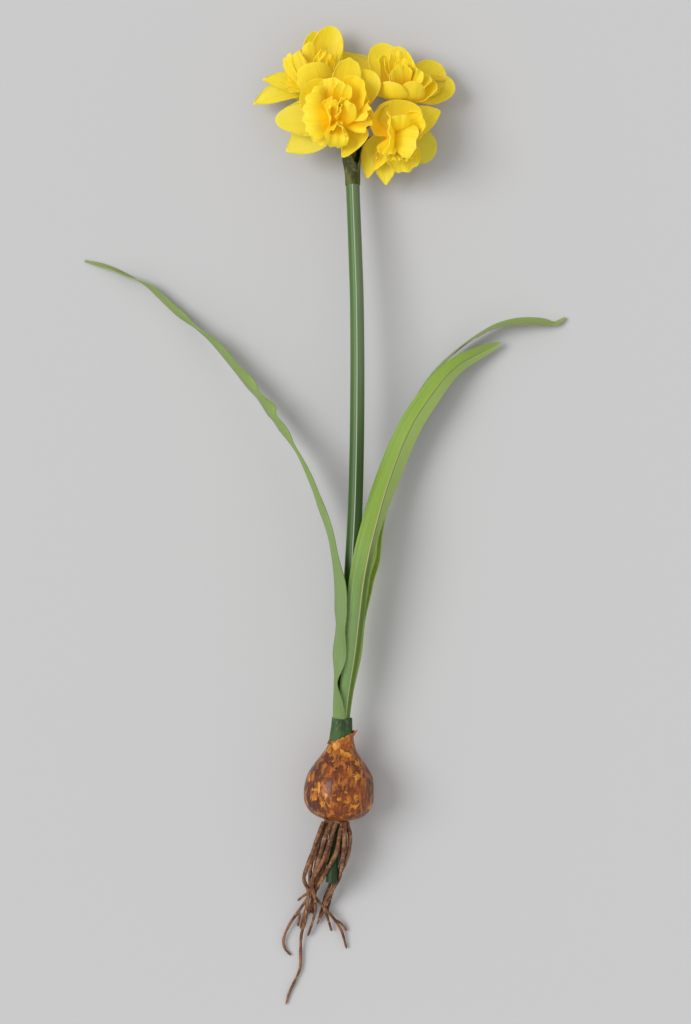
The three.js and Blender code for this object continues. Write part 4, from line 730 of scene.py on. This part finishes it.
def make_stem_material():
    material, tree = new_material("stem_skin", 0.36, 0.22, Coat_Weight=0.05, Coat_Roughness=0.1)
    across, lengthwise = sheet_place(tree)
    around = calculate(tree, "ABSOLUTE", across)
    # The two sides are coloured apart at the ridge: on the upper stem a greyer, paler right side is painted
    # sheen, on the lower stem a darker right side is painted shade.
    left = spread(tree, around, RIDGE_AT - 0.04, RIDGE_AT + 0.04)
    lower = mix_colours(tree, left, (48, 76, 34), (60, 90, 38))
    upper = mix_colours(tree, left, (102, 122, 86), (78, 108, 54))
    body = mix_colours(tree, spread(tree, lengthwise, 0.58, 0.72), lower, upper)
    body = mix_colours(tree, veins(tree, 40, 8), body, (226, 232, 216), "MULTIPLY")
    # A painted highlight: a pale line along the ridge.
    aside = calculate(tree, "ABSOLUTE", calculate(tree, "SUBTRACT", around, RIDGE_AT))
    ridge = times(tree, spread(tree, aside, 0.008, 0.03, 0.85, 0), spread(tree, lengthwise, 0.2, 0.4))
    body = coated(
        tree, body,
        # Painted shade: much darker at the lower end, among the roots below the bulb.
        (spread(tree, lengthwise, 0.04, 0.12, 1, 0), (32, 58, 26)),
        (ridge, (174, 188, 158)))
    return finish(material, veins(tree, 30, 4, 0.2, 0.8), 0.1, 0.5, Base_Color=body)


def make_pedicel_material():
    material, tree = new_material("pedicel_skin", 0.45)
    # Dark olive: partly the stalks' own colour, partly painted shade for the dark inside of the spathe's
    # slit.
    body = mix_colours(tree, mottle(tree, 140), (52, 60, 21), (84, 92, 40))
    return finish(material, mottle(tree, 500), 0.1, 0.5, Base_Color=body)


def make_sheath_material():
    material, tree = new_material("sheath_skin", 0.6, 0.25)
    body = coated(
        tree, (44, 62, 38),
        (mottle(tree, 160, stretch=0.3), (62, 86, 44)),
        (mottle(tree, 420, 0.55, 0.7), (84, 102, 72)))
    return finish(material, mottle(tree, 500, stretch=0.15), 0.25, 0.6, Base_Color=body)


def make_spathe_material():
    material, tree = new_material("spathe_skin", 0.6, 0.25)
    body = coated(
        tree, (58, 62, 25),
        (mottle(tree, 170, stretch=0.4), (92, 98, 48)),
        (mottle(tree, 380, 0.58, 0.72), (146, 146, 92)))
    return finish(material, mottle(tree, 460, stretch=0.2), 0.3, 0.7, Base_Color=body)


def make_bulb_material():
    material, tree = new_material("bulb_tunic", 0.36, 0.22, Coat_Weight=0.16, Coat_Roughness=0.18)
    brown = coated(
        tree, (98, 45, 18),
        (mottle(tree, 34, 0.38, 0.62, distortion=0.6), (150, 78, 30)),
        (mottle(tree, 90, 0.5, 0.66, detail=6, distortion=1), (80, 38, 22)),
        (attribute(tree, "shade"), (74, 36, 24)),
        (mottle(tree, 240, 0.5, 0.64, detail=5, stretch=0.5), (170, 98, 40)))
    worn = attribute(tree, "worn")
    ragged = mottle(tree, 170, 0.3, 0.7, detail=8, stretch=0.6, distortion=1.6)
    patches = spread(tree, calculate(tree, "ADD", worn, ragged), 0.86, 1.04)
    strokes = mottle(tree, 300, 0.55, 0.62, detail=6, stretch=0.5, distortion=0.8)
    strokes = times(tree, strokes, spread(tree, worn, 0, 0.12, 0.35, 1))
    _, lengthwise = sheet_place(tree)
    rim = times(tree, spread(tree, lengthwise, 0.9, 0.95),
                mottle(tree, 95, 0.43, 0.48, detail=7, distortion=1.2))
    gold = calculate(tree, "MAXIMUM", calculate(tree, "MAXIMUM", patches, strokes), rim)
    amber = mix_colours(tree, mottle(tree, 190), (168, 97, 19), (204, 138, 44))
    height = calculate(tree, "ADD", times(tree, gold, -0.6), mottle(tree, 260, 0.3, 0.7, stretch=0.4))
    return finish(material, height, 0.5, 0.8, Base_Color=mix_colours(tree, gold, brown, amber))


def make_root_material():
    material, tree = new_material("root_bark", 0.66, 0.3)
    body = coated(
        tree, (94, 57, 38),
        (mottle(tree, 130, 0.35, 0.7), (142, 100, 68)),
        (mottle(tree, 520, 0.54, 0.72), (170, 130, 94)))
    return finish(material, mottle(tree, 700, 0.3, 0.7), 0.4, 0.8, Base_Color=body)


def petal_face(petal, number):
    outline, root, tip, width, look, shape = petal
    form = OUTLINES[outline]
    cup, bow, hook, sway, roll, ruffle, waves, lip, lobes, notch = (
        shape.get(key, usual) for key, usual in USUAL_SHAPE.items())
    start = on_plan(root)
    forward = on_plan(tip) - start
    length = np.linalg.norm(forward)
    forward /= length
    inward = unit(np.array(look) - forward * np.dot(look, forward))
    sideways = np.cross(forward, inward)
    bend = np.radians(cup)
    turn = np.radians(roll)
    phase = np.random.default_rng(number).uniform(0, 2 * np.pi, 4)

    def place(s, t):
        t = np.sin(t * np.pi / 2)
        rise = np.where(s < form["peak"], np.sin(np.minimum(s / form["peak"], 1) * np.pi / 2), 1)
        fall = np.maximum((s - form["peak"]) / (1 - form["peak"]), 0) ** 2
        half = width / 2 * (form["root"] + (1 - form["root"]) * rise - (1 - form["tip"]) * fall)
        corner = 1 - np.sqrt(1 - np.minimum(np.abs(t) ** form["sharp"], 1))
        lobed = 0.5 + 0.5 * np.cos(2 * np.pi * lobes * (t + 1) / 2 + phase[0])
        reached = s - form["drop"] * corner * s ** 3 - notch * s ** 5 * lobed
        ahead = reached * length
        lift = length * (hook * reached ** 3 - bow * 4 * reached * (1 - reached))
        if turn:
            over = np.maximum(reached - ROLL_FROM, 0) / (1 - ROLL_FROM) * turn
            radius = length * (1 - ROLL_FROM) / turn
            ahead = np.where(over > 0, length * ROLL_FROM + radius * np.sin(over), ahead)
            lift = lift - radius * (1 - np.cos(over))
        if bend:
            opened = bend * np.minimum(1, 0.3 + s)
            across = 2 * half / opened * np.sin(t * opened / 2)
            lift = lift + 2 * half / opened * (1 - np.cos(t * opened / 2))
        else:
            across = half * t
        across = across + sway * length * 4 * reached * (1 - reached)
        lift = lift + ruffle * s ** 2.5 * (
            np.sin(np.pi * waves * (t + 0.2)) + 0.4 * np.sin(np.pi * waves * 2.2 * t + phase[1]))
        lift = lift + lip * np.maximum(np.abs(t), s) ** 8
        for (height, wide, long), at in zip(SWELLS, phase[2:]):
            lift = lift + height * s * np.sin(wide * t + long * s + at)
        return above_floor(start + forward * ahead[:, None] + sideways * across[:, None]
                           + inward * lift[:, None])

    return place


def make_bloom(name, bloom, blanks):
    petals = []
    for number, petal in enumerate(PETALS[name]):
        shape = petal[-1]
        inner = number >= INNER_FROM
        blank = blanks[shape.get("fine", 0)]
        piece = blank.copy()
        piece.data = blank.data.copy()
        bpy.context.collection.objects.link(piece)
        s = (corners_of(piece)[:, 1] + 1) / 2
        shaped(piece, petal_face(petal, number))
        throat = shape.get("throat", INNER_THROAT if inner else OUTER_THROAT)
        mark(piece, "throat", throat * np.clip(1 - s / THROAT_END, 0, 1))
        mark(piece, "tone", shape.get("tone", 0 if inner else OUTER_TONE))
        petals.append(thicken(piece, PETAL_THICK))
    back, front = on_plan(bloom["back"]), on_plan(bloom["front"])
    axis = unit(front - back)
    way = [back, back + (front - back) * 0.45, front, front + axis * 2]
    wide = bloom["wide"]
    radii = np.array([PEDICEL_RADIUS + 0.3, wide * 0.85, wide, wide * 0.6])
    cup = tube(name + "_tube", way, radii, TUBE_SIDES)
    mark(cup, "throat", 1)
    mark(cup, "tone", 0)
    return joined([*petals, cup], name + "_petals")


def make_leaf(name, leaf):
    rows = LEAF_ROWS[name]
    crease, wave, wavy, waves = (leaf[key] for key in "crease wave wavy waves".split())
    calm = leaf.get("calm", 0.9)

    def spine(s):
        return on_plan(along(rows, s)[:, :3])

    def place(s, t):
        _, _, _, width, roll, bend = along(rows, s).T
        forward = unit(spine(s + 0.004) - spine(s - 0.004))
        level, upward = ring_frame(forward)
        roll = np.radians(roll)[:, None]
        sideways = level * np.cos(roll) + upward * np.sin(roll)
        inward = upward * np.cos(roll) - level * np.sin(roll)
        bend = np.radians(bend) / 2
        bent = np.minimum(1, np.maximum(crease, 1.5 - 4 * s))
        curved = np.minimum(np.abs(t), bent)
        straight = np.abs(t) - curved
        radius = width / 2 * bent / bend
        angle = bend * curved / bent
        across = np.sign(t) * (radius * np.sin(angle) + width / 2 * straight * np.cos(bend))
        free = smoothstep(s, 0.12, 0.3) * (1 - smoothstep(s, calm, calm + 0.1))
        margin = np.maximum(wavy * t, 0)
        lift = (radius * (1 - np.cos(angle)) + width / 2 * straight * np.sin(bend)
                + wave * free * margin ** 4 * np.sin(2 * np.pi * waves * s + t))
        across = across + wavy * wave * free * margin ** 5 * np.cos(np.pi * waves * s + 1)
        return above_floor(spine(s) + sideways * across[:, None] + inward * lift[:, None])

    piece = shaped(flat_grid(name + "_blade", LEAF_FACES), place)
    for key, usual in (("rib", 0.5), ("grey", 0), ("rib_dark", 0)):
        mark(piece, key, leaf.get(key, usual))
    mark(piece, "painted_glow", leaf.get("painted_glow", 0) * (1 - smoothstep(corners_of(piece)[:, 1] / MM, *PAINTED_GLOW_FADES)))
    return thicken(piece, LEAF_THICK)


def make_stem():
    rows = along(STEM, np.linspace(0, 1, STEM_FACES[1]))
    return tube("stem_rod", on_plan(rows[:, :3]), rows[:, 3], STEM_FACES[0],
                lambda s, angle: 1 + 0.02 * np.exp(-((np.abs(angle) / np.pi - RIDGE_AT) / 0.03) ** 2))


def make_pedicels():
    made = []
    for name, bloom in BLOOMS.items():
        back = on_plan(bloom["back"])
        axis = unit(on_plan(bloom["front"]) - back)
        neck = on_plan([row[:3] for row in STEM[-2:]])
        way = through([*neck, *on_plan(bloom["route"]), back - axis * 3], STALK_FACES[1])
        way = np.concatenate([way, [back + axis]])
        made.append(tube(name + "_pedicel", way, np.full(len(way), PEDICEL_RADIUS), STALK_FACES[0]))
    return joined(made, "flower_stalks")


def make_bulb():
    base = on_plan(BULB_BASE)
    axis = unit(on_plan(BULB_TOP) - base)
    level, raised = ring_frame(axis)
    top = BULB_SKIN[-1][0]

    def place(s, t):
        height, left, right = along(BULB_SKIN, s).T
        angle = np.pi * t
        side = (1 + np.cos(angle)) / 2
        radius = right * side + left * (1 - side)
        radius = radius + 0.25 * np.sin(7 * angle + 3 * s) * smoothstep(s, 0.1, 0.5)
        radius = radius + 0.8 * smoothstep(s, 0.93, 1) * (1 + np.sin(5 * angle + 1))
        height = height + (height / top) ** 6 * BULB_RIM_SLOPE * np.cos(angle)
        torn = 0.3 * np.sin(9 * angle) + 0.3 * np.sin(17 * angle + 2)
        height = height + smoothstep(s, 0.9, 1) * torn
        curl = smoothstep(s, 0.94, 1) * np.exp(-(angle / 0.5) ** 2)
        height = height + 1.1 * curl
        radius = radius + 1.1 * curl
        return above_floor(about(base + axis * height[:, None], level, raised, angle, radius), 0)

    piece = shaped(flat_grid("bulb_tunic", BULB_FACES), place)
    corners = corners_of(piece) / MM
    scale = PLAN_UNIT * (1 - corners[:, 2] / EYE_HEIGHT)
    u = EYE_U + (corners[:, 0] - EYE_X) / scale
    v = EYE_V - (corners[:, 1] - EYE_Y) / scale
    mark(piece, "worn", np.max([
        np.exp(-((u - at_u) / wide) ** 2 - ((v - at_v) / tall) ** 2)
        for at_u, at_v, wide, tall in BULB_WORN
    ], axis=0))
    aside = (corners - base) @ level / BULB_HALF
    mark(piece, "shade", 0.9 * smoothstep(-aside, 0.15, 0.8) + 0.6 * smoothstep(aside, 0.6, 0.95))
    return thicken(close_seam(piece), TUNIC_THICK, -1)


def make_roots():
    made = []
    for number, rows in enumerate(ROOTS):
        thick = ROOT_RADIUS if rows[0][1] < ROOTLETS_BELOW else ROOTLET_RADIUS
        s = np.linspace(0, 1, len(rows) * ROOT_STRETCH)
        radii = thick + (ROOT_TIP - thick) * s
        radii = radii * (1 + 0.08 * np.sin(37 * s + number) + 0.06 * np.sin(83 * s + 2 * number))
        radii = radii * np.sqrt(np.clip((1 - s) / 0.03, 0.1, 1))
        points = above_floor(on_plan(along(rows, s)), radii)
        made.append(tube("root_%d" % number, points, radii, ROOT_SIDES))
    base = on_plan(BULB_BASE)
    axis = unit(on_plan(BULB_TOP) - base)
    crown = [base + axis * at for at in np.linspace(*CROWN_REACH, len(CROWN_SHAPE))]
    made.append(tube("root_crown", crown, CROWN_RADIUS * CROWN_SHAPE, CROWN_SIDES,
                     lambda s, angle: 1 + 0.05 * np.sin(11 * angle)))
    return joined(made, "root_mass")


def sleeve(name, rows, edge, faces):
    """A thin tube with an upper edge of its own height round it."""
    line = on_plan(np.array(rows)[:, :3])

    def place(s, t):
        direction = unit(along(line, np.minimum(s + 0.01, 1)) - along(line, np.maximum(s - 0.01, 0)))
        angle = np.pi * t
        shift = edge(angle) * smoothstep(s, 0.2, 1)
        return about(along(line, s) + direction * shift[:, None], *ring_frame(direction), angle,
                     along(rows, s)[:, 3])

    return thicken(close_seam(shaped(flat_grid(name, faces), place)), SHEATH_THICK, 1)


def make_spathe():
    def edge(angle):
        slit = np.clip(1 - np.abs(angle - SPATHE_CUT_AT) / SPATHE_CUT_HALF, 0, 1)
        return 1.4 * np.cos(2 * angle) - SPATHE_CUT_DEEP * slit ** 0.8

    return sleeve("neck_spathe", SPATHE, edge, SPATHE_FACES)


def make_basal_sheath():
    return sleeve("leaf_sheath", SHEATH, lambda angle: 0.1 * np.cos(2 * angle), SHEATH_FACES)


def make_plant():
    petal_material = make_petal_material()
    leaf_material = make_leaf_material()

    dress(make_bulb(), make_bulb_material(), "bulb")
    dress(make_roots(), make_root_material(), "roots")
    dress(make_basal_sheath(), make_sheath_material(), "basal_sheath")
    dress(make_stem(), make_stem_material(), "stem")
    dress(make_pedicels(), make_pedicel_material(), "stem")
    dress(make_spathe(), make_spathe_material(), "spathe")
    for name, leaf in LEAVES.items():
        dress(make_leaf(name, leaf), leaf_material, name)

    blanks = [flat_grid("petal_blank", faces) for faces in (PETAL_FACES, CORONA_FACES)]
    for name, bloom in BLOOMS.items():
        dress(make_bloom(name, bloom, blanks), petal_material, name)
    for blank in blanks:
        bpy.data.objects.remove(blank)


def make_stage():
    bpy.ops.object.select_all(action="DESELECT")
    bpy.ops.mesh.primitive_plane_add(size=60, location=(0, 0, 0))
    floor = bpy.context.object
    floor.name = "surface"
    pale = new_material("pale_surface", 0.85, 0.2, Base_Color=rgb(191, 191, 192))[0]
    floor.data.materials.append(pale)

    sun = bpy.data.lights.new("window", "SUN")
    sun.energy = 1.93
    sun.angle = np.radians(34)
    lamp = bpy.data.objects.new("window", sun)
    lamp.rotation_euler = (np.radians(-8), np.radians(-42), 0)
    bpy.context.collection.objects.link(lamp)

    world = bpy.data.worlds.new("room")
    world.use_nodes = True
    light = world.node_tree.nodes["Background"].inputs
    light["Color"].default_value = (1, 0.99, 0.975, 1)
    light["Strength"].default_value = 0.69
    bpy.context.scene.world = world
    bpy.context.scene.view_settings.view_transform = "Standard"

    camera = bpy.data.cameras.new("camera")
    camera.lens = 100
    camera.sensor_width = 36
    camera.clip_end = 50
    eye = bpy.data.objects.new("camera", camera)
    eye.location = (EYE_X * MM, EYE_Y * MM, EYE_HEIGHT * MM)
    bpy.context.collection.objects.link(eye)
    bpy.context.scene.camera = eye


make_plant()
make_stage()
